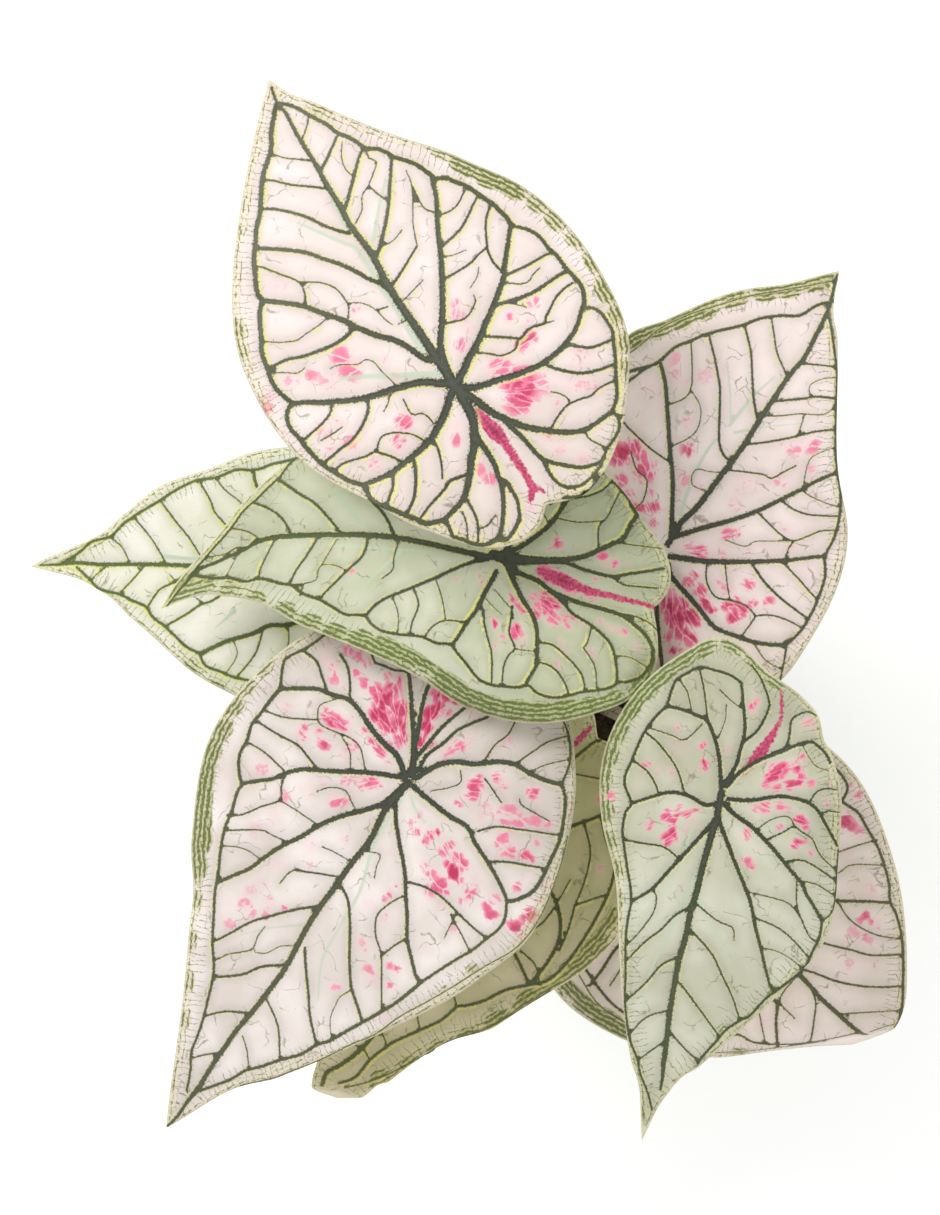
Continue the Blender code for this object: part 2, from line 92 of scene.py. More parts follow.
# hub: where stalk and blade meet. tip, right, notch, left: the margin in plan, clockwise from the tip.
# pitch, roll: slope of the blade in degrees, tip down and right side down. droop, lobe_fall, arch,
# furrow, ripple, bow, groove: how far the tip, the lobes and the sides fall, the sides rise from the
# midrib, the margin waves, the tip swings aside and the notch line sinks, mm. curl: where the margin
# turns down, as (middle deg, half width deg, mm). fold: a line past which the blade hangs down, as
# (normal deg, distance mm). foot_deg: the stalk's place on its ring, from +Y clockwise.
# lean: the point (x, y, z) that the stalk heads for as it leaves the soil, before it bends to the hub.
LEAVES = {
    "upper": Leaf(
        hub=(-57, 122, 330), tip=(-134, 250),
        right=[(-128, 246), (-114, 240), (-54, 217), (-30, 206), (5, 167), (15, 142), (15, 123), (0, 80)],
        notch=(-19, 73),
        left=[(-22, 64), (-70, 63), (-91, 74), (-122, 93), (-144, 128), (-136, 243)],
        pitch=8, roll=-2, droop=14, lobe_fall=5, arch=11, base_arch=0.6, furrow=8, ripple=2.0, waves=5,
        bow=-4, groove=4, curl=(32, 34, 7), fold=None, foot_deg=-8, lean=(-26, 62, 175)),
    "right": Leaf(
        hub=(33, 55, 268), tip=(105, 172),
        right=[(103, 162), (104, 143), (105, 81), (108, 65), (91, 15), (80, 0), (31, -14), (19, -11)],
        notch=(12, 1),
        left=[(-10, 86), (-4, 105), (4, 126), (16, 145), (31, 151), (64, 164), (85, 167)],
        pitch=5, roll=4, droop=12, lobe_fall=16, arch=9, base_arch=0.8, furrow=8, ripple=2.0, waves=5,
        bow=0, groove=4, curl=(318, 30, 6), fold=None, foot_deg=40, lean=(10, 24, 190)),
    "left": Leaf(
        hub=(-85, 44, 232), tip=(-237, 48),
        right=[(-210, 60), (-197, 70), (-183, 81), (-161, 89), (-146, 95), (-114, 98), (-61, 71), (-54, 54)],
        notch=(-58, 41),
        left=[(-54, 29), (-74, -6), (-138, -14), (-150, -7), (-165, 1), (-194, 26), (-208, 38), (-218, 43)],
        pitch=7, roll=-4, droop=14, lobe_fall=8, arch=14, base_arch=0.8, furrow=7, ripple=1.6, waves=4,
        bow=0, groove=3, curl=(300, 30, 4), fold=None, foot_deg=-90, lean=(-38, 16, 165)),
    "middle": Leaf(
        hub=(-40, 50, 290), tip=(-180, 30),
        right=[(-172, 43), (-161, 55), (-145, 75), (-80, 105), (-55, 105), (18, 72), (30, 34)],
        notch=(26, 30),
        left=[(25, 1), (-3, -15), (-53, -11), (-70, 0), (-119, 22), (-152, 35), (-166, 35)],
        pitch=7, roll=0, droop=20, lobe_fall=5, arch=13, base_arch=0.9, furrow=9, ripple=2.2, waves=5,
        bow=-48, groove=5, curl=(262, 46, 12), fold=None, foot_deg=-50, lean=(-22, 26, 195)),
    "lower_left": Leaf(
        hub=(-76, -40, 252), tip=(-179, -190),
        right=[(-176, -165), (-168, -98), (-168, -68), (-158, -20), (-144, -1), (-71, 28)],
        notch=(-43, 10),
        left=[(-29, 12), (-16, 0), (-6, -40), (-15, -86), (-26, -109), (-48, -127), (-131, -168),
              (-158, -177)],
        pitch=8, roll=0, droop=16, lobe_fall=8, arch=13, base_arch=0.8, furrow=9, ripple=2.2, waves=5,
        bow=0, groove=4, curl=(40, 34, 7), fold=None, foot_deg=-128, lean=(-30, 1, 185)),
    "lower_right": Leaf(
        hub=(56, -48, 295), tip=(22, -194),
        right=[(21, -175), (17, -159), (14, -139), (5, -61), (5, -32), (37, 11), (54, 18), (73, 4)],
        notch=(88, -7),
        left=[(94, -14), (97, -25), (103, -41), (103, -79), (96, -112), (83, -127), (46, -162), (34, -172),
              (27, -183)],
        pitch=12, roll=0, droop=26, lobe_fall=8, arch=27, base_arch=0.35, furrow=10, ripple=2.6, waves=6,
        bow=0, groove=6, curl=(96, 60, 8), fold=None, foot_deg=150, lean=(12, -14, 200)),
    "back_left": Leaf(
        hub=(-40, -71, 198), tip=(-112, -202),
        right=[(-118, -184), (-117, -168), (-113, -157), (-102, -137), (-67, -79), (-50, -55),
               (-32, -34), (-16, -18), (-2, -11)],
        notch=(4, -25),
        left=[(22, -36), (26, -73), (-3, -125), (-38, -147), (-84, -171), (-97, -181)],
        pitch=6, roll=-3, droop=8, lobe_fall=5, arch=10, base_arch=0.8, furrow=7, ripple=1.6, waves=5,
        bow=0, groove=4, curl=(300, 40, 6), fold=(191.5, 187), foot_deg=-168, lean=(-14, -38, 146)),
    "back_right": Leaf(
        hub=(41, -78, 162), tip=(120, -190),
        right=[(102, -175), (55, -164), (14, -154), (-13, -135), (-23, -116), (-12, -55)],
        notch=(10, -46),
        left=[(29, -24), (113, -39), (130, -74), (137, -122), (136, -140), (131, -154)],
        pitch=3, roll=0, droop=5, lobe_fall=4, arch=9, base_arch=0.8, furrow=7, ripple=1.6, waves=5,
        bow=0, groove=4, curl=(320, 30, 4), fold=(171, 162), foot_deg=95, lean=(28, -36, 126)),
}
BLADE_THICKNESS, TOUCH_GAP = 0.9, 0.35
FURROW_SOFTNESS = 9.0
FOLD_RADIUS, FOLD_TURN_DEG = 8.0, 82.0


def curve_through(points, at):
    """Height at one place on a smooth curve through (place, height) points."""
    places = [place for place, _ in points]
    heights = [height for _, height in points]
    last = len(points) - 1
    slopes = [(heights[i + 1] - heights[i]) / (places[i + 1] - places[i]) for i in range(last)]
    tangents = [slopes[0]] + [0.0] * (last - 1) + [slopes[-1]]
    for i in range(1, last):
        before, after = places[i] - places[i - 1], places[i + 1] - places[i]
        steepest = 3 * min(abs(slopes[i - 1]), abs(slopes[i]))
        mean = (slopes[i - 1] * after + slopes[i] * before) / (before + after)
        tangents[i] = max(-steepest, min(steepest, mean))
    i = 0
    while i < last - 1 and at > places[i + 1]:
        i += 1
    span = places[i + 1] - places[i]
    t = (at - places[i]) / span
    rise = heights[i] * (2 * t**3 - 3 * t**2 + 1) + heights[i + 1] * (3 * t**2 - 2 * t**3)
    return rise + span * (tangents[i] * (t**3 - 2 * t**2 + t) + tangents[i + 1] * (t**3 - t**2))


class Blade:
    """One leaf blade in its own plan axes: forward from hub to tip, and aside to its right."""

    def __init__(self, leaf):
        self.leaf = leaf
        across = Vector((leaf.tip[0] - leaf.hub[0], leaf.tip[1] - leaf.hub[1]))
        self.length = math.sqrt(across.length_squared - leaf.bow**2)
        heading = math.atan2(across.y, across.x) + math.asin(leaf.bow / across.length)
        self.forward = Vector((math.cos(heading), math.sin(heading)))
        self.aside = Vector((self.forward.y, -self.forward.x))
        self.half_width = 0.47 * self.length
        notch = self.polar(leaf.notch)
        self.notch_deg = notch[0]
        self.right = [(0.0, self.length)] + [self.polar(p) for p in leaf.right] + [notch]
        self.left = [notch] + [self.polar(p) for p in leaf.left] + [(360.0, self.length)]

    def polar(self, point):
        offset = Vector((point[0] - self.leaf.hub[0], point[1] - self.leaf.hub[1]))
        ahead, side = offset.dot(self.forward), offset.dot(self.aside)
        side -= self.leaf.bow * max(ahead / self.length, 0) ** 3
        return math.degrees(math.atan2(side, ahead)) % 360, math.hypot(ahead, side)

    def margin(self, degrees):
        """Distance from hub to margin in one direction, mm."""
        side = self.right if degrees <= self.notch_deg else self.left
        return curve_through(side, degrees)

    def height(self, degrees, part):
        """Height over the hub, mm, at a direction and a part of the way to the margin."""
        leaf = self.leaf
        angle = math.radians(degrees)
        reach = self.margin(degrees) * part
        ahead, side = reach * math.cos(angle), reach * math.sin(angle)
        front = min(max((ahead / self.length + 0.35) / 0.6, 0.0), 1.0)
        front = front * front * (3 - 2 * front)
        arch = leaf.arch * (leaf.base_arch + (1 - leaf.base_arch) * front)
        z = -ahead * math.tan(math.radians(leaf.pitch)) - side * math.tan(math.radians(leaf.roll))
        z -= leaf.droop * (max(ahead, 0) / self.length) ** 2
        z -= leaf.lobe_fall * (min(ahead, 0) / (0.42 * self.length)) ** 2
        z -= arch * (side / self.half_width) ** 2
        z += leaf.furrow * (math.hypot(side, FURROW_SOFTNESS) - FURROW_SOFTNESS) / self.half_width
        z += leaf.ripple * part**3 * math.sin(leaf.waves * angle)
        off_notch = math.radians(degrees - self.notch_deg) * reach
        z -= leaf.groove * part * math.exp(-((off_notch / 9.0) ** 2))
        if leaf.curl:
            middle, half, depth = leaf.curl
            near = max(1 - abs((degrees - middle + 180) % 360 - 180) / half, 0.0)
            z -= depth * near * near * (3 - 2 * near) * max((part - 0.78) / 0.22, 0.0) ** 2
        return z

    def folded(self, point):
        """Hang down what lies past the blade's fold line."""
        if not self.leaf.fold:
            return point
        normal_deg, distance = self.leaf.fold
        normal = Vector((math.sin(math.radians(normal_deg)), math.cos(math.radians(normal_deg)), 0))
        past = point.x * normal.x + point.y * normal.y - distance
        if past <= 0:
            return point
        most = math.radians(FOLD_TURN_DEG)
        turn = min(past / FOLD_RADIUS, most)
        straight = max(past - FOLD_RADIUS * most, 0.0)
        out = FOLD_RADIUS * math.sin(turn) + straight * math.cos(most)
        down = FOLD_RADIUS * (1 - math.cos(turn)) + straight * math.sin(most)
        return point + normal * (out - past) - Vector((0, 0, down))

    def point(self, degrees, part):
        """A place on the upper face, mm, in the plant's own axes."""
        angle = math.radians(degrees)
        reach = self.margin(degrees) * part
        ahead, side = reach * math.cos(angle), reach * math.sin(angle)
        side += self.leaf.bow * max(ahead / self.length, 0) ** 3
        plan = self.forward * ahead + self.aside * side
        hub = Vector(self.leaf.hub)
        return self.folded(hub + Vector((plan.x, plan.y, self.height(degrees, part))))

    def hub_normal(self):
        """Upward normal of the blade at its hub."""
        near = 0.06
        ahead = self.point(0, near) - self.point(180, near)
        aside = self.point(90, near) - self.point(270, near)
        return aside.cross(ahead).normalized()

# %% [markdown]
# ## The print of the veins
#
# A vein is drawn as a few points, (aside, ahead) in mm from the leaf's hub, with its width
# at its start and at its end. Main veins fan out from the hub, a ring vein gathers them just inside
# the margin, side veins join them, creases are pale folds, and a fold is a dark red line. `drawn`
# turns the text into lines by kind.

# %% The print of the veins
KINDS = ("main", "ring", "outer", "side", "crease", "fold")
PRINTS = {
    "upper": """
        main 4 1.3 0.5,0 -0.5,8.5 -1,18 -1.5,27 -2.5,37 -3,49 -2.5,65 -4,79 -3.5,88.5 -3.5,100 -3,109
        -3,120.5 -2.5,127.5 -2,134 -2.5,139.5 -1,146
        main 3.1 1.9 1,0.5 1,8.5 3.5,17.5 9,26 13.5,33.5 21,47.5 24.5,55.5 28,63 32,70.5 34.5,77.5 35.5,81.5
        main 3.4 1.9 1,0.5 5,2.5 12,7.5 18.5,11.5 24,16 29.5,20 35,24.5 40,29 43.5,34 47.5,39 50.5,43 53,46
        main 3.1 1.9 1.5,-1 5.5,-4 12,-6 18,-7 23.5,-8.5 30,-9.5 35.5,-10 40.5,-9.5 46,-8.5 51,-6.5 55,-4.5
        59,-1 62.5,2.5
        main 3.6 1.9 1,-2 3.5,-7 5.5,-11 7.5,-16 10.5,-21 14,-25.5 18.5,-30.5 23,-34 27.5,-37.5 32.5,-40.5
        38,-42.5 42,-42.5 46.5,-42 51,-41.5
        main 2.3 1.5 11,-22 12,-26.5 13.5,-30.5 14.5,-35 15.5,-39.5 16.5,-43.5 19.5,-47.5 23.5,-51 28.5,-55
        32.5,-56.5 36.5,-57 39.5,-56.5
        main 4.4 2.1 0.5,-2.5 0.5,-9 0.5,-13 -0.5,-17.5 -3,-22 -5.5,-26.5 -9,-30 -11,-33.5 -14,-37 -17,-40.5
        -20.5,-43 -24.5,-44.5 -28.5,-45.5 -31,-46.5
        main 2.7 1.7 -2,-20.5 -2,-25.5 -1.5,-31.5 -1.5,-37 -2.5,-41.5 -3,-45 -4.5,-49 -6.5,-53 -9,-57
        -12,-61 -15.5,-63.5 -19.5,-63.5
        main 3.6 2.1 0,-0.5 -3,-2.5 -6,-5.5 -9.5,-8.5 -14,-11.5 -19,-14.5 -24.5,-16 -30,-17 -35.5,-18
        -42,-18.5 -47,-18 -52,-17.5
        main 3.4 2.1 0.5,0.5 -5,4 -9,7 -14,9 -19.5,10.5 -24.5,11.5 -29.5,12.5 -35,14 -40.5,16 -45.5,18.5
        -51,21 -56,24 -61.5,26.5
        main 2.7 2.1 -0.5,13.5 -3.5,14 -6,17.5 -8.5,23 -11.5,28 -16,32.5 -20,37 -23,41 -25.5,45 -29.5,50
        -33.5,54.5 -37.5,59.5 -41,62.5 -45.5,66 -51,70
        ring 2.1 2.1 -2.5,139 -5,137 -8,133.5 -11.5,129.5 -13.5,126 -16,122.5 -19,120 -23,116.5 -26,113
        -29.5,108 -32.5,103.5 -35,100.5 -38,97.5 -41,93 -44,89 -46.5,85 -48.5,80.5 -50.5,76.5 -51.5,73
        -51.5,70 -54.5,66.5 -57,62 -59.5,56.5 -62,52 -63,48 -63.5,44 -64.5,40 -64.5,35 -63,30 -61.5,26.5
        ring 1.9 2.3 -61.5,26.5 -65,25 -67,21.5 -67.5,17.5 -66.5,13.5 -66,9.5 -65,5 -63.5,-1 -61.5,-5
        -59,-9.5 -57,-13 -54,-16 -52.5,-18 -53,-22.5 -52,-26 -49.5,-29.5 -46.5,-33 -44,-36.5 -41,-40
        -38.5,-43.5 -35,-45 -30.5,-46.5
        ring 1.7 1.9 -30.5,-46.5 -30.5,-50 -31,-54 -28.5,-56.5 -26,-60 -23,-62.5 -19.5,-64 -16,-64 -13,-66
        -9.5,-65 -6,-63 -3,-60.5
        ring 1.7 2.1 -2,138.5 1,136 3.5,132.5 5.5,128.5 8,124 10,120.5 11.5,115.5 14,112.5 16,109 18,104.5
        22,101.5 24.5,98.5 26,95.5 29,92 32,88.5 34,84.5 35,81.5 36.5,78.5 40,77 42.5,73.5 45.5,70 47.5,66
        49.5,61.5 51.5,57.5 52.5,53.5 53.5,49.5 53.5,46
        ring 1.5 2.1 53.5,46 57,43 59.5,40 61.5,35.5 62,31 63.5,26 64,21.5 64.5,18 65.5,14.5 66,11 65.5,7
        64,4 62,1
        ring 1.5 1.7 62,1.5 65.5,0 67.5,-3.5 68,-8 68,-12.5 66.5,-16 64.5,-20.5 62.5,-25 60,-29.5 57.5,-35
        55,-38.5 51,-41.5
        ring 1.5 1.3 51,-41.5 52.5,-44.5 51,-48.5 47,-51.5 42.5,-53.5 39.5,-56 35.5,-59 30,-61 24,-61.5
        20,-60
        outer 1.3 1.5 46,-57.5 40,-61.5 36,-62.5 29.5,-64.5 24,-65.5 19.5,-64 16.5,-62.5
        side 0.8 0.6 -4,111 -8.5,114.5 -12.5,117.5 -15.5,121
        side 1.1 0.9 -5,98 -9.5,101.5 -14.5,105 -18,108 -21.5,111.5 -25,114
        side 1.5 1.3 -6,76.5 -10,80.5 -14,85.5 -17,90.5 -20.5,94.5 -24.5,98.5 -29,102 -32.5,103.5
        side 1.9 1.7 -4,48.5 -5.5,52 -9,56.5 -12,62 -16,67.5 -20.5,72.5 -24.5,77.5 -28.5,81 -34,85
        -42.5,90.5
        side 0.9 0.8 -47,84 -44.5,82.5 -42,79.5 -38.5,75 -35.5,71.5 -34,68 -34.5,64 -36.5,59.5
        side 0.7 0.7 -33,68.5 -26.5,64.5 -22.5,59.5 -21.5,54.5 -21.5,50.5 -24.5,45.5
        side 0.5 0.5 -21,51.5 -16.5,49 -13,44.5 -11,37.5 -9.5,34.5
        side 0.8 0.6 -3,33.5 -7.5,33.5
        side 0.7 0.7 -11.5,43 -7.5,42
        side 1.8 1.3 -23.5,42 -26.5,40.5 -31,39.5 -37,39.5 -43,40.5 -48.5,41.5 -54,43.5 -59,44 -63.5,44
        side 0.6 0.6 -60,55.5 -54,51.5 -48.5,49 -46,48.5 -43,49 -36.5,49.5 -31,50.5
        side 0.6 0.5 -63,42 -57.5,39 -53.5,36.5 -50,37
        side 0.5 0.5 -41,31.5 -37,31 -30.5,27.5 -26.5,27.5 -24,25 -23,20 -21,13
        side 1.2 1.1 -47,19 -49.5,16 -53,14 -56.5,13 -61,12 -65.5,11
        side 1.4 1.3 -33.5,13 -36,8.5 -39.5,5.5 -43.5,3 -48.5,1 -53.5,0.5 -58,-0.5 -63.5,-1
        side 1.1 1 -34,-17 -37,-12.5 -39.5,-10 -42,-7.5 -45.5,-7.5 -50,-6.5 -54.5,-5.5 -57.5,-5.5 -60.5,-6.5
        side 0.8 0.8 -41.5,-8 -38.5,-5 -36,-3.5 -31.5,-4.5 -28,-6.5 -24.5,-9.5 -22,-13.5
        side 0.7 0.7 -21,5.5 -21,-1.5 -17,-3.5 -15.5,-6.5 -15,-9.5
        side 0.6 0.5 -24,10.5 -27.5,7 -30.5,5
        side 0.8 0.6 -59,7.5 -52.5,7.5 -48.5,8
        side 1.4 1.3 -39,-18.5 -40.5,-20.5 -42.5,-24 -45.5,-26.5 -49,-30
        side 1.7 1.3 -29,-17 -31,-22.5 -34,-28 -37.5,-32.5 -43,-36.5
        side 1.3 0.8 -18.5,-15 -18.5,-19 -19.5,-23 -21,-27 -23,-31
        side 1.5 1.1 -12.5,-34.5 -16.5,-34 -20.5,-33.5 -25,-35.5 -29.5,-37 -34,-38.5 -39.5,-41
        side 1.3 1 -18.5,-43.5 -18.5,-48 -19,-52.5 -20.5,-56.5 -23.5,-61.5
        side 0.8 0.8 -20,-56.5 -16.5,-57 -11.5,-55
        side 0.8 0.7 -22.5,-47 -23.5,-52 -26.5,-58.5
        side 1.8 1.1 -2.5,-42.5 -0.5,-45.5 -0.5,-49.5 -0.5,-54 -2,-58 -3.5,-61.5 -7,-64 -10,-65.5 -13,-66
        side 1.9 1.3 17,-44 16.5,-49.5 17,-54.5 19,-58.5 23,-61
        side 0.8 0.8 38,-42.5 37.5,-45.5 39,-49 42,-53
        side 0.8 0.7 51,-41.5 54.5,-45 56.5,-45.5
        side 1.3 1 25,53 30,54 35,55.5 40,58.5 44,61.5 47.5,63.5
        side 0.8 0.8 29,64.5 35.5,64 40,65.5 43.5,68 46.5,69
        side 1.1 0.9 18,40.5 25.5,40.5 31.5,41 36,42.5 39.5,43
        side 1 1.1 51,58.5 48,56 45,52.5 42.5,48 40.5,43.5 39.5,40 39.5,35.5 40.5,32
        side 1 0.6 8.5,24.5 13.5,23 17.5,22 21.5,23.5 25,26 25.5,28.5
        side 0.5 0.5 26,32 30.5,34.5 33,37.5
        side 0.5 0.5 22,49.5 26,47.5 32,46.5
        side 1.3 1.1 40.5,29 45,29 50,28.5 55,28.5 60,28.5 63,27.5
        side 1.8 1.5 32,20.5 38,19 43,18 49,17.5 55,18 61.5,18.5 64.5,18
        side 1.3 1.1 20,12.5 25,9 30.5,5.5 33.5,3.5 37.5,5 41,5 45,4 47,6 50,8 54.5,11 59,12.5 63.5,13
        side 0.9 0.8 14.5,7.5 19,4.5 22.5,1.5 26.5,0.5 30,1 32.5,3.5
        side 0.7 0.6 39,27 45,23 48.5,22.5 51,24 55,25
        side 0.5 0.5 36,19 39,16.5 42,13.5
        side 0.6 0.5 45,4 49,3
        side 1 0.9 27,-34.5 30.5,-32.5 35,-30.5 38,-30 42.5,-30.5 47,-31.5 51,-30.5 55.5,-30.5 59.5,-31
        side 0.7 0.6 38,-29.5 38,-27 35.5,-23.5 33.5,-22
        side 1.5 1.3 37.5,-11 39,-13.5 42.5,-17 47.5,-21 54,-23.5 62.5,-25
        side 1.4 1.3 49,-8 53,-11.5 56.5,-14 61,-15 66.5,-15.5
        side 1 0.7 45,-9.5 48,-9 50.5,-9.5
        side 1.4 1.1 -2,106 1,107.5 4.5,110 8,112.5 11.5,115
        side 1.6 1.3 -3,86 0.5,89 5,93.5 9.5,98 13,101.5 17.5,105
        side 1.7 1.4 -1,63 1,64.5 6,69.5 10.5,74.5 14.5,79.5 18.5,85.5 22,90.5 25,95
        side 1.4 0.9 -2.5,48.5 2.5,51 6.5,53 10,55 15.5,58
        side 0.6 0.5 15.5,58 17,62.5 19,67.5 22.5,73.5 26.5,81.5 27.5,87.5
        side 0.6 0.6 -1.5,79 3.5,82.5 6.5,87.5 11,90 15.5,93.5 19,97 17,100 18,103
        side 0.8 0.8 11,90 12.5,85 14.5,80.5
        side 0.5 0.6 11,111 7.5,105.5 6.5,100.5 7.5,96.5
        side 0.6 0.5 -3,41 0.5,41.5 5.5,43 10.5,44.5
        side 0.5 0.5 13.5,67 8.5,65 2.5,65
        side 0.8 0.7 6,128.5 3,125 -1,121.5
        side 0.7 0.6 29,66.5 26,70 26,75 26.5,80
        crease 1.7 2.5 -4,108 -4,98 -5,88 -5.5,80 -5,76.5
        crease 1.7 2.9 -22,91 -16,82.5 -11,75.5 -7,70.5 -6.5,65.5 -6,58.5 -5.5,52.5
        crease 1.7 2.5 18.5,88.5 12,82 6.5,75.5 1,69
        crease 2.9 3.8 -6,51 -5,42.5 -4.5,34 -4.5,26 -4,18.5 -3.5,15.5
        crease 2.1 3.4 -39.5,26 -30,21.5 -19,15.5 -10,11 -3.5,7.5
        fold 2.5 6.3 3.5,-13.5 4,-19 5.5,-25.5
        fold 6.3 3.8 5.5,-25.5 6.5,-30.5
        fold 3.4 2.1 6.5,-30.5 7,-36.5 7.5,-44.5 7.5,-51.5 4.5,-56.5
        fold 2.1 0.8 7.5,-51.5 11,-56.5""",
    "right": """
        main 2.7 2.1 -1.5,1 -1.5,12.5 0.5,19.5 1.5,27.5 2.5,38 3.5,47.5 4,56 4,66 4.5,77.5 5,89 6.5,98.5
        5.5,110.5
        main 2.1 1.1 5.5,110.5 5,117 4,123 2,129 0,135.5
        main 2.5 1.5 -1.5,5 1,7.5 8,15.5 15.5,23.5 22.5,32 29,42 34,50 38,57 43.5,64.5
        main 2.7 1.5 2,-2.5 15.5,3.5 29,11.5 42,20 50.5,26.5 57.5,32
        main 2.3 1.7 3,-6 7,-9.5 15,-12 24.5,-15 33.5,-18 42.5,-16.5 51,-14.5 60.5,-10 63,-6
        main 2.1 1.7 -2.5,5.5 -9.5,18 -15,27 -21.5,35.5 -27.5,44 -32.5,51 -38,58.5 -44.5,65
        main 2.1 1.7 1.5,-5.5 7,-21 14,-31.5 23,-43
        ring 1.5 1.3 -56,47.5 -53,54.5 -47,61 -44.5,65.5 -42,73.5 -38,79 -35,83.5 -30.5,88.5 -23,96
        -18,102.5 -11.5,108 -4.5,112.5 -0.5,120 4.5,125
        ring 1.1 1.3 4.5,120.5 11.5,112.5 19.5,102.5 23.5,96.5 28.5,87.5 34,78.5 39,70 43.5,64.5
        ring 1.3 1.3 43.5,64.5 49.5,57 53.5,50 56,43 57,37 57.5,31.5 61.5,25 64,16 65,7.5 65,0 63.5,-6.5
        ring 1.1 0.8 63,-8.5 65.5,-14.5 68.5,-22.5
        ring 1.1 1.1 -44.5,65 -49,56.5 -54,40 -51.5,26.5
        side 1.2 1 3.5,45.5 0,45 -5.5,49 -12,60 -17.5,69 -24.5,77 -32.5,85
        side 1.2 1 5,65 2.5,66.5 -2.5,72 -8.5,80.5 -14.5,89 -21.5,96
        side 0.9 0.8 4.5,87 2.5,89 -4.5,94 -10,100.5 -14,105
        side 1 0.9 5,54.5 12.5,60.5 19.5,67 26.5,74 33.5,79.5
        side 1.2 1 4.5,75.5 14,82.5 19.5,87 27,90.5
        side 0.9 0.8 6,95 12.5,98.5 20,102
        side 0.9 0.8 -45,35.5 -42.5,34.5 -36,33 -28,31.5 -19,31
        side 0.7 0.6 -37.5,78.5 -33,72 -28,63.5 -27.5,57.5 -32,51
        side 0.5 0.5 -27,61.5 -20,57.5 -16.5,50.5 -17,44.5 -22,36.5
        side 0.8 0.7 3.5,41 12,45 18,47.5 21,47.5 24.5,53.5 27,57.5
        side 0.6 0.5 4,68 10.5,72 17,77 25,81.5 27.5,85.5 27,90
        side 0.6 0.5 19,77.5 20.5,71.5 21,68
        side 0.9 0.8 29,42 36.5,41.5 43.5,43.5 53.5,49
        side 0.5 0.5 33.5,50 39.5,50 46.5,51 52,52.5
        side 0.8 0.7 23.5,32.5 32,30.5 38.5,29.5 43,30.5 47.5,36 50.5,40 56.5,44
        side 0.7 0.6 43.5,22 42.5,27 43,30.5
        side 0.5 0.4 18,15.5 26.5,17.5 29,21.5 36,26 42,30
        side 1.2 1 33.5,12.5 41.5,9 50,7 58.5,6 65,5.5
        side 0.9 0.8 44,20 53.5,17.5 60,15.5 64.5,14.5
        side 0.8 0.7 16.5,3 20.5,-3.5 27,-7 33,-5 39.5,-3.5 45,-5 45.5,-8 45,-14.5
        side 0.8 0.7 45.5,-5 50.5,-1.5 57.5,0.5 65.5,1
        side 0.7 0.6 23.5,6.5 28.5,0 32.5,-4.5
        side 0.5 0.4 34.5,51 31,60.5 31.5,65.5 37,73
        side 0.4 0.4 17,85.5 14.5,89.5 17.5,94.5 22,98
        side 0.5 0.4 2,29 -6,28 -8,34 -2.5,36.5 2.5,39
        side 0.6 0.5 51.5,-15.5 58.5,-18.5 65,-18.5
        side 0.7 0.6 -35.5,26.5 -29,21 -23,19.5 -20,11.5 -21,5.5 -15.5,2
        outer 0.6 0.6 -58.5,58 -55,66.5 -51.5,77 -44,88.5 -35.5,98.5 -26.5,108.5 -17,117 -7.5,125.5 -0.5,132
        crease 2.5 1.7 -3.5,14.5 -7,29.5 -8,41.5 -7.5,49
        crease 2.1 1.3 -5.5,57.5 -3.5,72.5 0,85
        crease 1.7 0.8 -2,56 8,65 20,74
        crease 1.7 0.8 -20.5,79.5 -12,68.5 -5.5,57.5""",
    "left": """
        main 2.3 1.7 0.5,1.5 1,20.5 1.5,41.5 2,62.5 2,82 2,94.5 2,107.5 1.5,120 2,133
        main 1.7 0.8 2,133 1,139.5 0.5,148
        main 1.4 1.3 43,58 36.5,56.5 26.5,50.5 14,41.5 5.5,29 2,9.5
        main 2.1 1.9 -2,3.5 -11,20 -18.5,32.5 -22,42 -22.5,49.5 -26.5,57.5 -29,66 -32,72.5 -35,78
        ring 1.3 1.3 1,139.5 6.5,131 11,126 13.5,118 19.5,112 24,105.5 29,97.5 33.5,91 38,82 39.5,73.5 43,65
        43,57.5 46,49 47,44.5 50,34.5
        ring 1.3 1.3 0,132 -5,126.5 -9,122 -11,113.5 -13.5,108 -16,102 -20,99.5 -24,94 -28,89.5 -32.5,84.5
        -35,79
        ring 1.3 1.1 -35,79 -40,76.5 -42.5,70 -44.5,65 -45.5,60.5 -46.5,52 -46,42.5
        side 0.6 0.6 13,118 9,113 2.5,109.5
        side 0.8 0.8 21.5,108 13.5,101 7.5,97 2.5,94
        side 0.9 0.8 29,97 20,90 13,84 2,77
        side 0.9 0.8 38,81 30,76 25,74 20.5,70 13.5,63 2,57.5
        side 0.7 0.6 39.5,74 34.5,70 29.5,63.5 20,54
        side 0.6 0.5 1,119 -4.5,125.5
        side 0.8 0.8 1.5,103 -5,108.5 -10.5,113.5
        side 1.1 0.9 1,82.5 -5,90 -8.5,96.5 -16,101.5
        side 1.1 1 -3.5,62.5 -12,73 -14.5,79 -19,85.5 -24,94
        side 0.5 0.5 -29.5,64.5 -35.5,63 -44,68
        side 0.9 0.8 -25.5,52.5 -34,55 -40.5,59.5 -44.5,63
        side 0.6 0.5 -23,41.5 -30.5,41.5 -39,47
        side 0.5 0.5 -2,92.5 -8.5,86 -12.5,79.5
        crease 2.5 0.8 -16.5,64.5 -20.5,68.5 -24,72.5
        crease 2.5 1.3 5.5,94.5 5,84 6,75.5""",
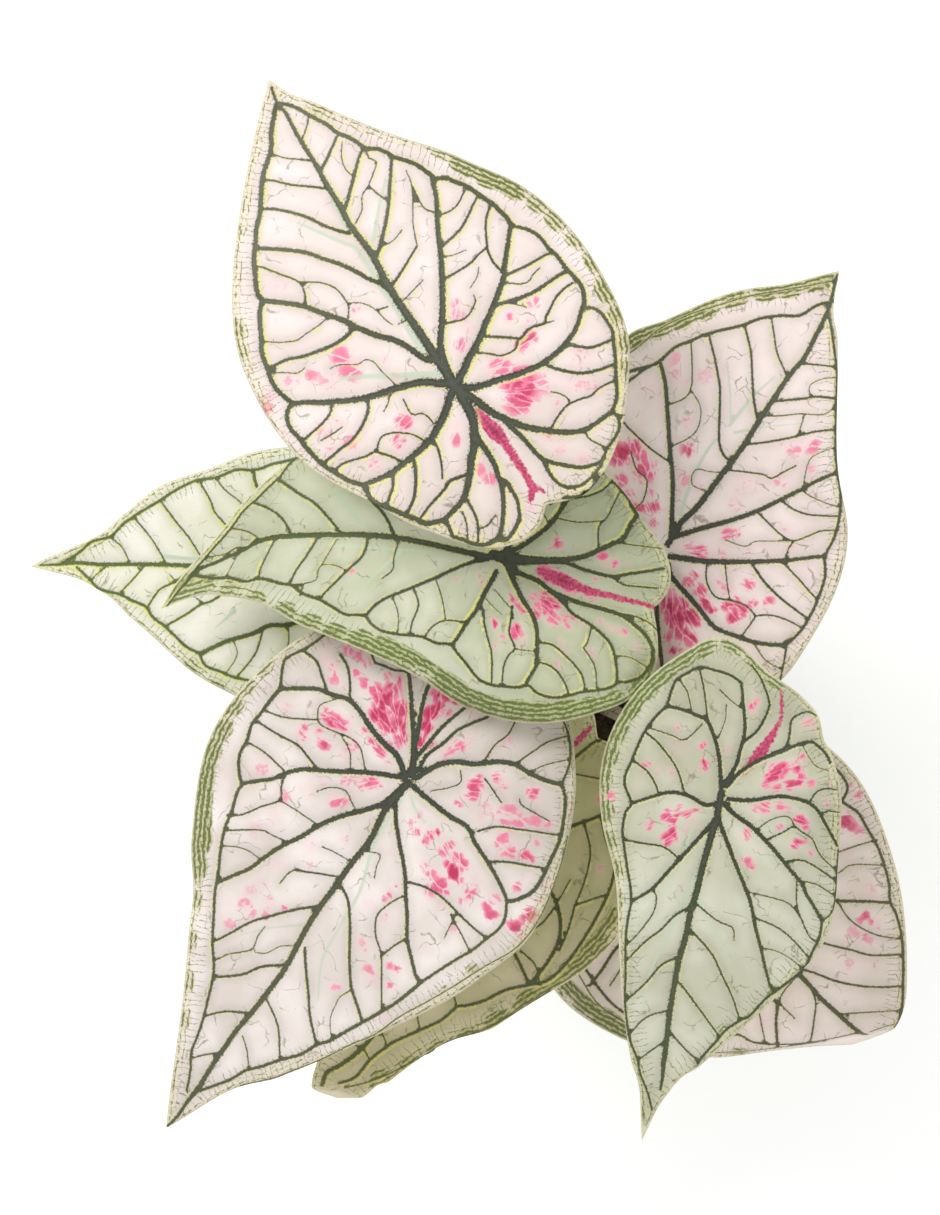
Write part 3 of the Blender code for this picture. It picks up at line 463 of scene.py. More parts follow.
    "middle": """
        main 2.7 2.3 1,1.5 1,10 1.5,23.5 2.5,40.5 3,57.5 3.5,69.5 5,82 7,93 7.5,99.5
        main 2.1 1.3 7.5,99.5 6,103.5 6,109 6,114.5 7,119.5 5.5,123.5 2.5,127.5 -0.5,130.5
        main 1.6 1.3 -0.5,3.5 -2.5,9 -6.5,15.5 -10.5,21 -15.5,28.5 -20,36 -23.5,42 -27.5,46 -31.5,48
        main 2.3 1.5 -4.5,-1.5 -8,-0.5 -14.5,1.5 -22,3.5 -28.5,6.5 -34,8.5 -38,10.5
        main 2.3 1.5 1,-3 0,-4.5 -9,-11 -14.5,-15.5 -18.5,-19.5 -23.5,-22.5 -29,-24 -34,-25 -40,-25.5
        -46,-23.5 -48.5,-23
        main 2.3 1.5 -1,-6.5 -3,-10.5 -4.5,-19 -7.5,-25 -9,-31 -10,-37.5 -10.5,-45.5 -11,-52 -12,-58
        -14.5,-62.5 -17.5,-67.5 -22,-71.5 -26,-72.5 -30.5,-72 -35.5,-69 -38.5,-64
        main 1.5 1.3 -7,-23.5 -11.5,-31.5 -15,-36 -17.5,-43 -20.5,-49 -24,-54 -29,-57 -34.5,-59 -39,-60
        main 2.1 1.3 0.5,-2 0.5,-7.5 4,-22.5 5,-29.5 4,-35.5 3.5,-42.5 3.5,-49.5 6,-56 8.5,-63 11,-69.5
        main 2.7 1.9 3,2 3.5,-11 5.5,-25 9,-35.5 13.5,-42 17.5,-47.5 20,-50.5 27,-52.5 30.5,-54 34.5,-50.5
        main 2.3 1.9 2.5,-1.5 4,-4.5 8.5,-10 15,-16 20.5,-20 27.5,-23 31.5,-24.5
        ring 1.3 1.3 42.5,83 39.5,91 34,95 30.5,99 27,103 24.5,107 20,110 16.5,113 13.5,116.5 10.5,119.5
        6.5,124
        ring 1.3 1.3 42.5,83 45.5,71 47.5,55.5 49,41.5 50.5,28.5
        ring 1.3 1.3 5.5,122 -0.5,114.5 -4.5,107 -9,100.5 -10,94.5 -14.5,86 -16.5,81 -21,75.5 -24.5,68
        -28,62 -31,56.5 -31,51.5 -31.5,48 -34.5,45 -37,40 -37.5,32.5 -37,24 -38.5,17 -38,11 -40.5,8 -44.5,3
        -49.5,-3 -51,-8.5 -50.5,-15 -49.5,-21 -48,-24 -50.5,-28.5 -51,-35 -49,-41 -46,-47 -44,-53.5
        -41.5,-58.5 -39,-60.5
        ring 1.1 0.8 -39,-60.5 -38.5,-64
        ring 1 0.9 29,-15.5 30.5,-22 32.5,-28 34.5,-33 38,-38 42.5,-41
        ring 1 0.9 42.5,-41 38.5,-46.5 32,-54
        side 1 0.8 26,103.5 19.5,95.5 13.5,90 6.5,85.5
        side 1.2 1 33,96 23.5,85.5 18.5,79 13.5,74 8,69 3,64.5
        side 1.3 1.3 31.5,71 22,61 15.5,53 10.5,48 5.5,44.5 3,43
        side 0.6 0.5 18.5,110.5 13.5,103.5 7.5,97.5
        side 0.5 0.5 11,119 8,111.5 8.5,107 6.5,103
        side 0.9 0.8 5.5,92 -0.5,94 -6,95.5 -10,95
        side 1.2 1 2.5,74.5 -4.5,77.5 -10,80.5 -15.5,82
        side 1.3 1.1 1.5,53.5 -6,54.5 -11,58.5 -16,62.5 -21,66.5 -24,68.5
        side 0.8 0.6 1.5,41 -6,41.5 -11,41 -15,44.5
        side 0.5 0.5 1,66.5 -8,70 -11.5,71.5 -15.5,71.5 -16.5,76 -16,81
        side 0.5 0.5 -9,70.5 -10,64.5 -12.5,59.5
        side 0.5 0.5 4.5,106 -0.5,108 -3.5,109
        side 0.6 0.5 -22,39 -29,35 -37,33.5
        side 0.9 0.8 -17.5,31 -24,27.5 -31.5,28.5 -37.5,28.5
        side 0.6 0.5 -12.5,22.5 -19.5,18.5 -28.5,15
        side 0.8 0.7 -27.5,6 -28.5,15 -31.5,19.5 -37,22.5
        side 0.8 0.7 14,-41 22.5,-39.5 27,-42 32.5,-43.5 38.5,-45
        side 0.6 0.5 22.5,-22 22.5,-28.5 23,-32.5 25,-39.5
        side 0.7 0.6 17.5,-48.5 18,-54.5 18.5,-61 19,-67
        side 0.9 0.8 3,-44 3,-49 1,-54.5 1.5,-60.5 2.5,-69
        side 1 0.9 -29.5,-24.5 -29.5,-30.5 -32,-35.5 -36,-41.5 -40,-45.5 -46,-48
        side 1 0.9 -37.5,-25 -38.5,-32 -42,-37 -46.5,-40.5 -49,-41
        side 0.7 0.6 -19.5,-45 -26,-44.5 -28,-43.5 -31.5,-47 -35.5,-50 -44,-52.5
        side 0.9 0.8 -17,-11 -24,-11.5 -28.5,-12 -34,-15.5 -37.5,-13.5 -42.5,-12.5 -51,-13.5
        side 0.5 0.5 -34.5,-15.5 -33.5,-25
        side 0.5 0.5 -12,-2.5 -16,-7.5 -18.5,-11 -22,-12.5
        side 1 0.8 -21,0.5 -26.5,-1 -32,-3.5 -37,-6 -42,-7.5 -50.5,-9
        side 0.5 0.4 -16,1 -19.5,-4 -21.5,-7.5
        side 0.8 0.7 -11,-53.5 -11,-63 -13,-69.5 -15,-72
        side 0.6 0.5 -28.5,-58 -28,-63 -29.5,-68 -31,-72
        side 0.7 0.6 15.5,-16 19.5,-18.5 25,-14
        side 0.6 0.5 -21.5,77 -16.5,76
        crease 2.5 1.7 23,71.5 13.5,63.5 6,56
        crease 2.1 1.3 -1,69 -2.5,48 -1.5,27
        crease 2.1 0.8 -3.5,39.5 -14,48 -24.5,54
        fold 2.1 5.5 -0.5,-18.5 -1.5,-24 -2.5,-29.5
        fold 5.5 3.4 -2.5,-29.5 -3.5,-36
        fold 3.4 2.1 -3.5,-36 -4.5,-43 -4.5,-50
        fold 2.1 1.3 -4.5,-50 -5,-57.5 -5,-63 -5.5,-69""",
    "lower_left": """
        main 2.9 2.1 -1.5,3 -1,10.5 0,18 -2,32 -1,45 -1,56.5 -0.5,67 -1,78.5 -3,95.5 -3,104 -2.5,113.5
        -2,121.5 -1,130 -1,139 -1,148.5 -1.5,157 -1.5,162
        main 2.1 1.1 -1.5,162 -1,167.5 -1,175 0,181
        main 2.5 1.5 -0.5,-0.5 2.5,-6.5 8,-15 14,-22.5 18.5,-28.5 25,-36 29.5,-41
        main 2.1 1.3 -1.5,-2.5 1.5,-6.5 1,-15 0,-24.5 -2.5,-34 -5,-42
        main 1.7 1.3 -2,-5 -1.5,-11.5 -4.5,-20 -6,-27 -10,-34 -13,-38.5 -15.5,-45
        main 2.1 1.7 4,-9.5 7.5,-18 11,-25 13.5,-31.5 15,-37.5 17,-44.5
        main 2.7 1.7 1,1 9,-4 15.5,-5 23.5,-7 32,-10.5 38.5,-12 44.5,-10 49,-9 52.5,-8 60,-3 64.5,0.5
        65.5,3.5 66,11
        main 2.3 1.7 1,2 8.5,5.5 16,9.5 23,14 32,19.5 38.5,23.5 43.5,29 46.5,34 50.5,37.5 56,43
        main 2.5 1.7 -1,3.5 2,15 7,22.5 13.5,30 19,38.5 23,47.5 27.5,55.5 30.5,63 33,70.5 36.5,76 40.5,82.5
        main 1.9 1.5 -1.5,12 -6,18.5 -13.5,26.5 -21,34 -27.5,42.5 -33,49.5 -38.5,57.5 -45,63.5 -50,68
        -53.5,69.5
        main 2.5 1.5 -4.5,3 -16,4 -24,4.5 -32.5,4 -38.5,7.5 -47,11 -54.5,14.5 -61.5,18.5 -64,20.5
        main 2.7 1.9 -3,-0.5 -7,-9.5 -12.5,-15.5 -20,-19.5 -27,-25.5 -34,-29 -42,-29.5 -49,-31 -55,-33
        ring 1.3 1.5 62,-30.5 65,-21.5 69,-14 70.5,-10.5 68,-4.5 65.5,0.5 66,5.5 66,13 66.5,20 64.5,26.5
        63.5,33.5 60,39 55.5,43.5
        ring 1.5 1.1 55.5,43.5 55.5,47 53,54.5 51,63 47.5,71 44,77.5 41.5,82.5 39.5,87 34,96 28.5,105
        22,113.5 18.5,120.5 15.5,128.5 13,135.5 11,142.5 9.5,149 5.5,155.5 2,163.5
        ring 1.5 1.9 -55,-33.5 -60,-28.5 -64,-21.5 -67.5,-13.5 -69,-5.5 -70.5,3.5 -70.5,11 -67,17.5 -64,20.5
        ring 1.3 1.3 -64,20.5 -67.5,27.5 -67.5,33 -65.5,39 -63.5,46 -61,51 -57,60.5 -53.5,69.5
        ring 1.7 1.3 -53.5,69.5 -52,75 -49.5,83 -46.5,89.5 -43.5,96 -39,105 -36,111.5 -32.5,116 -29,123.5
        -23,130.5 -18.5,137 -14,142 -10.5,149.5 -6,156 -1.5,162.5
        ring 1.3 0.8 -55,-33 -53.5,-39.5 -51.5,-44.5 -45.5,-52 -38,-57
        ring 1.1 1.1 25,-36 30,-33 35,-32 38.5,-31 41.5,-33
        side 1.3 1.1 65.5,-18 59,-17.5 53.5,-13.5 48.5,-10
        side 1.3 1.1 52.5,-25.5 47,-23 42,-17.5 39,-13
        side 1.3 1 -0.5,66.5 7.5,74 14,81.5 20,89 24,97 28,104.5
        side 1 0.8 -37,3 -42.5,-3 -50,-7 -58,-11 -66.5,-15
        side 1.1 1 -47.5,11.5 -54,7 -61.5,3.5 -69,0
        side 0.7 0.6 -44,-18 -46,-16.5 -53.5,-17 -59.5,-17.5
        side 0.8 0.7 -27,-17 -33.5,-14.5 -38.5,-12.5
        side 0.6 0.5 -16.5,-14 -19.5,-10 -17,-5.5 -11.5,0
        side 1.1 1 -24.5,37.5 -32,35 -40.5,34.5 -49,36 -58,37.5 -66,38
        side 1.3 1.3 -2,54.5 -6.5,56.5 -10.5,60 -16.5,68 -21,75 -26,82 -30.5,87.5 -37.5,93 -42.5,97
        side 0.8 0.8 -27.5,43 -26,44.5 -23,51.5 -22.5,57 -26.5,63.5 -33,69 -40.5,79.5 -46.5,88.5
        side 1 0.8 -38,57.5 -36,61.5 -34.5,66 -33.5,70
        side 0.5 0.5 -4.5,36 -9,34.5 -10.5,39.5 -12.5,44
        side 1 0.8 16.5,60 8.5,56 -1,51.5
        side 0.7 0.6 16.5,59 18.5,63 19,68.5
        side 0.6 0.5 13,45.5 7.5,44.5 1,44
        side 0.6 0.6 39,39.5 30.5,39 21.5,39
        side 0.9 0.8 43,29.5 41.5,34.5 39,39.5 44,46.5 48.5,53.5 53.5,57.5
        side 0.6 0.6 28,27.5 24.5,23 18.5,20.5 13.5,23 9.5,25
        side 0.8 0.6 50.5,63 38.5,54.5 33.5,53.5 25.5,52
        side 0.6 0.5 48.5,69.5 42.5,66 37,64.5 30.5,65
        side 1 1 66,17.5 54.5,17 46,16 40,17.5 33.5,19.5
        side 0.8 0.8 64,27 55.5,26.5 45,28
        side 0.8 0.8 65.5,12 58,10 50.5,6 45,2.5
        side 0.7 0.6 45,2.5 42,3.5 36,2.5 29.5,1 23.5,2 17,8
        side 0.6 0.5 45.5,1.5 47.5,-3 43.5,-9
        side 0.6 0.6 32.5,2.5 26,6 22,11.5
        side 0.8 0.8 -22.5,-23.5 -22.5,-31 -24.5,-37.5 -24,-43.5
        side 0.8 0.8 -34.5,-30.5 -37.5,-38.5 -40,-44.5 -45.5,-51.5
        side 0.6 0.6 -41.5,-31 -45,-36.5 -51,-43
        side 1.3 1.1 -5,85 -8,89 -12,94 -17.5,100.5 -23,107.5 -30,114 -33,115.5
        side 0.9 0.8 -4.5,112.5 -10.5,116 -15.5,120 -20,126 -23,130
        side 0.6 0.6 -4.5,131 -9.5,135 -14.5,141
        side 0.5 0.4 -31,89 -29,93.5 -29.5,98.5 -31,104 -35.5,110
        side 1.3 1.1 -2,96 5.5,102 10.5,109.5 19.5,117
        side 0.7 0.5 23,110.5 21.5,108 20.5,106 13.5,99 13,96 14,92.5 14,87
        side 1.1 0.9 -1,121.5 7.5,126.5 13,132.5
        side 0.9 0.7 -1,142 4,146.5 7.5,150.5
        side 0.5 0.4 -0.5,87 4,90.5 7,96 11,98.5
        side 0.7 0.6 -63.5,47 -56.5,43 -47.5,38.5
        side 0.6 0.5 -49.5,36 -50,42 -51,48
        outer 0.6 0.6 -69.5,-16.5 -74,-4.5 -77.5,9 -79.5,22 -78,35 -72,48 -66,62 -61,73 -54.5,86 -50,98.5
        -44,108 -39.5,116.5 -35,124 -30.5,130.5 -25.5,138 -21,143 -15.5,149
        crease 2.5 1.3 -3,10.5 -3,22 -5,35 -10.5,51.5 -12,68.5 -14,85 -22,100
        crease 1.7 0.8 0.5,77 12,86.5 20.5,96
        crease 2.1 1.3 -5,6.5 -10,10 -16.5,12.5""",
    "lower_right": """
        main 3.1 2.3 2,-1 1.5,10.5 2,19.5 2.5,31 2.5,42 3,50.5 2.5,60.5 3,70 2.5,80 2,88.5 1,98 -0.5,110
        -1,115.5
        main 2.1 1.1 -1,115.5 -2,121.5 -2.5,127
        main 1.9 1.3 2,10.5 6.5,19 12,29 17,38 21,45 28,52
        main 1.9 1.3 2.5,3.5 7.5,5.5 14.5,3.5 22,3.5 28.5,6.5 37.5,12
        main 1.9 1.5 2.5,-2 6,-14 9.5,-21.5 14.5,-28.5 19.5,-30 26,-31 32.5,-31
        main 1.9 1.3 2,-4.5 -1,-12.5 -1.5,-21.5 -1.5,-28.5 1.5,-38.5 4.5,-47.5
        main 1.3 0.9 -2,-23.5 -6.5,-29.5 -8.5,-36 -9,-41 -6.5,-46 -2.5,-51.5 2,-55.5
        main 1.9 1.3 0.5,-4 -3.5,-11 -10.5,-18 -18,-23 -24,-27.5 -29,-30 -31.5,-29.5 -36,-27 -39,-23.5
        main 1.3 0.8 -14.5,-21.5 -19.5,-25.5 -20,-31 -19.5,-37 -22.5,-40.5 -26,-42 -29,-41
        main 1.9 1.3 -1,1 -10,-0.5 -22,-5 -31,-5.5 -37,-4 -41,-0.5 -46,5 -50,9.5
        main 2.1 1.5 -1,3 -4,6 -12.5,9.5 -18.5,13 -25,17.5 -33.5,24 -39,28 -42.5,32.5 -47,37 -51.5,42
        main 1.9 1.3 0,11 -2,14 -7,21.5 -11.5,28 -16.5,35 -21,42 -24.5,50 -28.5,57.5 -32.5,65.5 -37,74
        ring 1.3 1.2 32.5,-31 36,-25.5 39,-18.5 40.5,-11.5 41.5,-5 42.5,-0.5 42,5 37.5,12 39,16 38.5,23.5
        36.5,29.5 33,38.5 30,45.5 28,52
        ring 1.2 1 28,52 27.5,62 26,71 23.5,81.5 21,93 18,102 15,109 10,116.5 7.5,122 3,128.5 1,132 -1,136
        ring 1.3 1.2 32.5,-31 32,-38 31,-42.5 26.5,-47 22.5,-50 16.5,-50 10,-49.5 4.5,-47.5
        ring 1.3 1.2 -51.5,42 -52,48.5 -50.5,55.5 -49,62.5 -44.5,69 -40,74.5 -36,79.5 -31.5,87.5 -28,90.5
        -23,96 -20,102 -16,109.5 -15,112.5
        ring 0.8 0.8 -51,11 -52.5,19.5 -54.5,30 -54.5,37.5 -51.5,42
        side 1 0.8 39,-18.5 33,-15.5 26.5,-10.5 22,-6 17,2.5
        side 1 0.8 41.5,-6 34,-2.5 29.5,2 27,6
        side 0.6 0.6 37,-20.5 27.5,-19.5 22,-19 16.5,-26.5
        side 0.9 0.8 22.5,-48.5 18.5,-40 16,-33 13.5,-27.5
        side 0.7 0.6 29.5,-42.5 25.5,-38.5 23,-33.5 22,-31
        side 0.7 0.5 12.5,-42.5 7.5,-39.5 2,-37
        side 0.5 0.5 8.5,-37 7.5,-31 8.5,-23
        side 1 0.8 37,27.5 28,27 21,26.5 16.5,28 12,30.5
        side 0.7 0.6 21,45.5 18.5,47 18,54 21.5,63 25.5,70
        side 1.1 0.8 2.5,47.5 9,53.5 13.5,61 18.5,67 24.5,77
        side 1.1 0.8 2,69 9.5,75 14,83.5 21,94
        side 0.8 0.7 2,93 8.5,96.5 12.5,100.5 16,107.5
        side 0.8 0.7 0.5,106 4.5,110.5 9.5,116.5
        side 0.8 0.6 2,46.5 -8.5,51.5 -15.5,53 -17.5,58
        side 1 0.8 1.5,58 -2,60 -10,66 -16,73.5 -22,81 -28,90.5
        side 1 0.8 2.5,80 -0.5,81.5 -6.5,86.5 -13.5,92.5 -21,99
        side 0.8 0.8 0,101 -2,103 -7.5,107 -12.5,110 -15.5,112
        side 0.6 0.6 -19,37 -28,37 -35,37.5 -39.5,40 -42,42.5
        side 0.8 0.7 -24.5,47 -33,48.5 -40,51.5 -49.5,58
        side 0.7 0.7 -37,27.5 -39.5,37.5 -43.5,44 -48,49.5 -52,51.5
        side 0.5 0.5 -29,58.5 -36,58.5 -43,60.5 -48.5,63.5
        side 0.9 0.8 -30.5,21 -37,19 -44,20.5 -52.5,24
        side 0.8 0.7 -20.5,14 -26.5,9.5 -30.5,6 -34.5,7.5 -39.5,9.5 -44,15 -52,20
        side 0.6 0.5 -15.5,11 -21,5 -27,2.5 -31,5.5
        side 0.5 0.5 -26.5,-27.5 -33,-21 -39,-20
        side 0.6 0.6 -39,27.5 -46,27.5 -54,30.5
        side 0.8 0.8 -34.5,-5.5 -36.5,-10.5 -40,-12.5 -44,-13
        side 0.8 0.7 -40,-1 -42.5,-3.5 -47,-4
        side 0.6 0.5 -40,74.5 -37.5,73
        crease 2.9 1.3 2,28 5.5,41.5 10,62 13.5,80.5 12.5,95.5
        crease 2.5 0.8 0.5,45 -8.5,55.5 -20,66
        crease 1.7 0.8 11,17 11.5,34.5 19.5,53.5 21,67
        fold 2.1 4.6 -4,-10.5 -7,-15 -9.5,-20
        fold 4.6 2.1 -9.5,-20 -12,-26 -14,-31.5
        fold 1.3 0.6 -14,-31.5 -15,-37 -13.5,-44 -12,-48""",
    "back_left": """
        main 2.3 1.9 0.5,3.5 1,19.5 2.5,39.5 3.5,59.5 4.5,79.5 7.5,101 12.5,113.5 16,119 15,125.5
        main 1.7 1.4 -2.5,2.5 -15,18 -25,32 -34,39 -41.5,44.5
        main 1.9 1.5 -3,0 -18,1.5 -33.5,7.5 -42.5,19.5 -43.5,32 -41.5,44.5
        main 1.9 1.4 -2.5,-1.5 -14.5,-13.5 -25.5,-24.5 -33,-33.5 -35.5,-42
        main 1.7 1.3 -0.5,-2.5 -3.5,-24.5 -9,-42 -15,-57.5 -18,-61.5
        main 1.7 1.3 1,-1.5 11,-16.5 12.5,-23.5 10.5,-38
        main 1.7 1.3 2,3 19.5,12.5 20,17 18.5,24
        main 1.7 1.3 1.5,4 11.5,27.5 18,50.5 21,54.5
        ring 1.4 1.4 9,120.5 4.5,115 2.5,105.5 -1,97 -3.5,92.5 -10,84 -16,75.5 -19,67.5 -22,65.5 -28,59.5
        -33.5,51.5 -41.5,44.5
        ring 1.4 1.4 -41.5,44.5 -47.5,39 -50.5,30 -52,19.5 -52.5,7 -52,-5 -49.5,-16 -42.5,-31.5 -35.5,-42
        side 0.9 0.8 -19,67.5 -13.5,62.5 -4,55.5
        side 0.8 0.8 -10,84 -4,77.5 6.5,71
        side 0.8 0.8 -1,96.5 5,92 10,90
        side 0.8 0.8 2.5,105.5 7,103 11,103
        side 1 0.8 -27.5,-28 -36.5,-18 -40.5,-6 -42,5.5
        side 0.9 0.8 -42,5.5 -46.5,0.5 -51,-4.5
        side 0.9 0.8 -35,9.5 -33,20 -26,29
        side 1 0.9 -42,5.5 -44.5,16 -45.5,25.5
        side 0.8 0.8 -45.5,42.5 -39.5,36 -31,33.5
        side 0.8 0.8 -33,-33.5 -40,-25 -47.5,-19.5
        side 0.8 0.8 -9.5,-42 -17,-44 -27.5,-47.5
        side 0.7 0.6 -35,-3 -35,9.5
        outer 0.6 0.6 6,121.5 -5,110 -16,94 -23.5,81.5 -34,70.5 -43,56 -50.5,42.5
        fold 2.5 1.7 -8.5,-53 -10,-58.5 -11.5,-64""",
    "back_right": """
        main 2.5 1.9 -0.5,4 -4.5,21 -8.5,45 -13,72 -14,81.5 -16.5,92.5 -18.5,102 -20,109.5
        main 1.9 1.3 -3,4 -15,20.5 -29,38 -43.5,51.5 -50,56.5 -56,61 -61.5,65.5
        main 1.9 1.3 -4.5,1.5 -23.5,8.5 -45,15.5 -67,15.5 -70,18.5 -73,26
        main 1.9 1.3 1.5,3.5 9,24.5 10.5,49.5 5,64 2.5,72.5 7.5,79.5 13,88.5
        main 1.7 1.3 4,3 20.5,11.5 43,13.5 55.5,18 63.5,20.5
        main 1.7 1.3 1.5,0.5 9,-12 18.5,-21.5 26.5,-24.5
        ring 1.3 1.3 -75.5,3 -76.5,9 -75.5,15 -70,18.5
        ring 1.3 1.3 -70,18.5 -73,26 -72.5,32.5 -71.5,42.5 -69,52 -66,59.5 -62.5,65 -61,72.5 -57,82
        -49.5,93.5 -39.5,106.5 -32.5,112
        ring 1 0.8 40.5,69.5 25,73.5 20.5,80.5 13,88 2.5,95.5 -6.5,100 -17,104
        ring 1.3 1 61,6 61,17 61,24.5 59,36.5 50,53.5 38.5,67 25,73.5
        side 1.1 0.9 -11,64 -17,70 -23.5,79.5 -31,87.5 -38.5,93.5 -45.5,98
        side 1 0.9 -16.5,48 -30.5,65.5 -37,73 -42.5,79.5 -53.5,87
        side 0.7 0.6 -44,52 -43.5,60 -45.5,67 -49.5,74 -57,81.5
        side 0.6 0.5 -16.5,92 -26,98 -39.5,106.5
        side 0.9 0.8 -13.5,74.5 -11.5,82 -6,88.5 1.5,96.5
        side 0.6 0.5 -47.5,41 -52,42.5 -58,43 -69,51
        side 0.7 0.6 -52.5,34 -64.5,37.5 -73,40.5
        side 0.6 0.5 -22.5,107.5 -29.5,108.5 -34,110.5
        side 0.7 0.6 -12,68 0.5,72.5 0,82.5
        side 0.7 0.6 18,60 19.5,69.5 25,73.5
        side 0.7 0.6 6,63.5 11.5,73 16.5,84.5
        side 0.8 0.8 32.5,0 41,4.5 51.5,8 60,8.5
        side 0.8 0.7 32.5,13.5 42,19.5 56.5,25.5
        outer 0.6 0.5 64.5,10.5 65,30 57,48.5 44.5,68 27.5,81.5 9.5,93 -5,102""",
}


def drawn(text):
    """Lines by kind, each as (wide, narrow, points)."""
    lines = {kind: [] for kind in KINDS}
    for word in text.split():
        if word in KINDS:
            line = []
            lines[word].append(line)
        else:
            line.append(tuple(float(number) for number in word.split(",")))
    return {kind: [(line[0][0], line[1][0], line[2:]) for line in found] for kind, found in lines.items()}


PRINTS = {name: drawn(text) for name, text in PRINTS.items()}
for name, lines in PRINTS.items():
    print(name, {kind: len(found) for kind, found in lines.items()})


BLADES = {name: Blade(leaf) for name, leaf in LEAVES.items()}
MASTER = BLADES["upper"]


# Sectors (degrees from the tip) that other leaves cover: there a leaf takes the upper leaf's print.
BORROWED = {"right": (180, 285), "left": (75, 290), "middle": (52, 140)}


def borrowed(name):
    """Lines of the upper leaf's print that fall in a leaf's covered sector, stretched to its margin."""
    low, high = BORROWED.get(name, (0, 0))
    blade = BLADES[name]
    grown = blade.length / MASTER.length
    for kind, lines in PRINTS["upper"].items():
        for wide, narrow, way in lines:
            degrees = [math.degrees(math.atan2(*place)) % 360 for place in way]
            if min(degrees) > low and max(degrees) < high and kind != "fold":
                parts = [min(math.hypot(*p) / MASTER.margin(d), 0.985) for p, d in zip(way, degrees)]
                reaches = [blade.margin(d) * part for d, part in zip(degrees, parts)]
                places = [(r * math.sin(math.radians(d)), r * math.cos(math.radians(d)))
                          for r, d in zip(reaches, degrees)]
                yield kind, (wide * grown, narrow * grown, places)


def rounded(points, step):
    """A smooth line through the given points, cut into steps of about one length."""
    points = [np.array(p, float) for p in points]
    points = [2 * points[0] - points[1]] + points + [2 * points[-1] - points[-2]]
    line = [points[1]]
    for a, b, c, d in zip(points, points[1:], points[2:], points[3:]):
        count = max(1, round(np.linalg.norm(c - b) / step))
        for i in range(1, count + 1):
            t = i / count
            line.append(0.5 * (2 * b + (c - a) * t + (2 * a - 5 * b + 4 * c - d) * t * t
                               + (3 * b - a - 3 * c + d) * t**3))
    return np.array(line)


for name in BORROWED:
    filled = list(borrowed(name))
    for kind, line in filled:
        PRINTS[name][kind].append(line)
    print(name, "borrows", len(filled), "lines")

# %% [markdown]
# ## From print to sheet
#
# Each leaf becomes one mesh whose edges run along its veins. Every point then knows how far it lies
# from the nearest vein, and because the edges follow the veins, that distance stays exact between
# points: the vein's edge is sharp at any zoom. `Lines` measures those distances.

# %% Distances to the veins
class Lines:
    """Straight pieces with a half width at each end, for measuring distances to a drawn line."""

    def __init__(self):
        self.starts, self.ends, self.halves = [], [], []

    def add(self, line, wide, narrow):
        along = np.linspace(0, 1, len(line))
        half = 0.5 * (wide + (narrow - wide) * along)
        self.starts += list(line[:-1])
        self.ends += list(line[1:])
        self.halves += list(zip(half[:-1], half[1:]))

    def distance(self, places):
        """Distance to the nearest line's edge, negative inside, and that line's half width, mm."""
        if not self.starts:
            return np.full((3, len(places)), 99.0)
        a, b, halves = (np.array(x, np.float32) for x in (self.starts, self.ends, self.halves))
        way = b - a
        square = np.maximum((way**2).sum(1), 1e-9)
        gaps, widths, spots = [], [], []
        for chunk in np.array_split(np.asarray(places, np.float32), len(places) // 600 + 1):
            off = chunk[:, None] - a
            t = np.clip((off * way).sum(2) / square, 0, 1)
            gap = np.sqrt(((off - t[..., None] * way) ** 2).sum(2))
            half = halves[:, 0] + t * (halves[:, 1] - halves[:, 0])
            near = (gap - half).argmin(1)
            rows = np.arange(len(chunk))
            gaps.append((gap - half)[rows, near])
            widths.append(half[rows, near])
            spots.append(near + t[rows, near])
        return np.concatenate(gaps), np.concatenate(widths), np.concatenate(spots)


# %% [markdown]
# The mesh is laid out flat, in the leaf's own plan. Margin and veins are fixed edges, and loose
# points fill the rest on a jittered grid.

# %% One leaf, laid out flat
NET_STEP, VEIN_STEP, MARGIN_STEP = 1.8, 1.5, 1.1


def margin_line(blade):
    """The margin as a closed loop of even steps."""
    fine = []
    for degrees in np.linspace(0, 360, 2401)[:-1]:
        reach = blade.margin(degrees)
        fine.append((reach * math.sin(math.radians(degrees)), reach * math.cos(math.radians(degrees))))
    fine = np.array(fine + fine[:1])
    along = np.concatenate([[0], np.cumsum(np.linalg.norm(np.diff(fine, axis=0), axis=1))])
    even = np.linspace(0, along[-1], round(along[-1] / MARGIN_STEP))
    return np.stack([np.interp(even, along, fine[:, k]) for k in (0, 1)], axis=1)


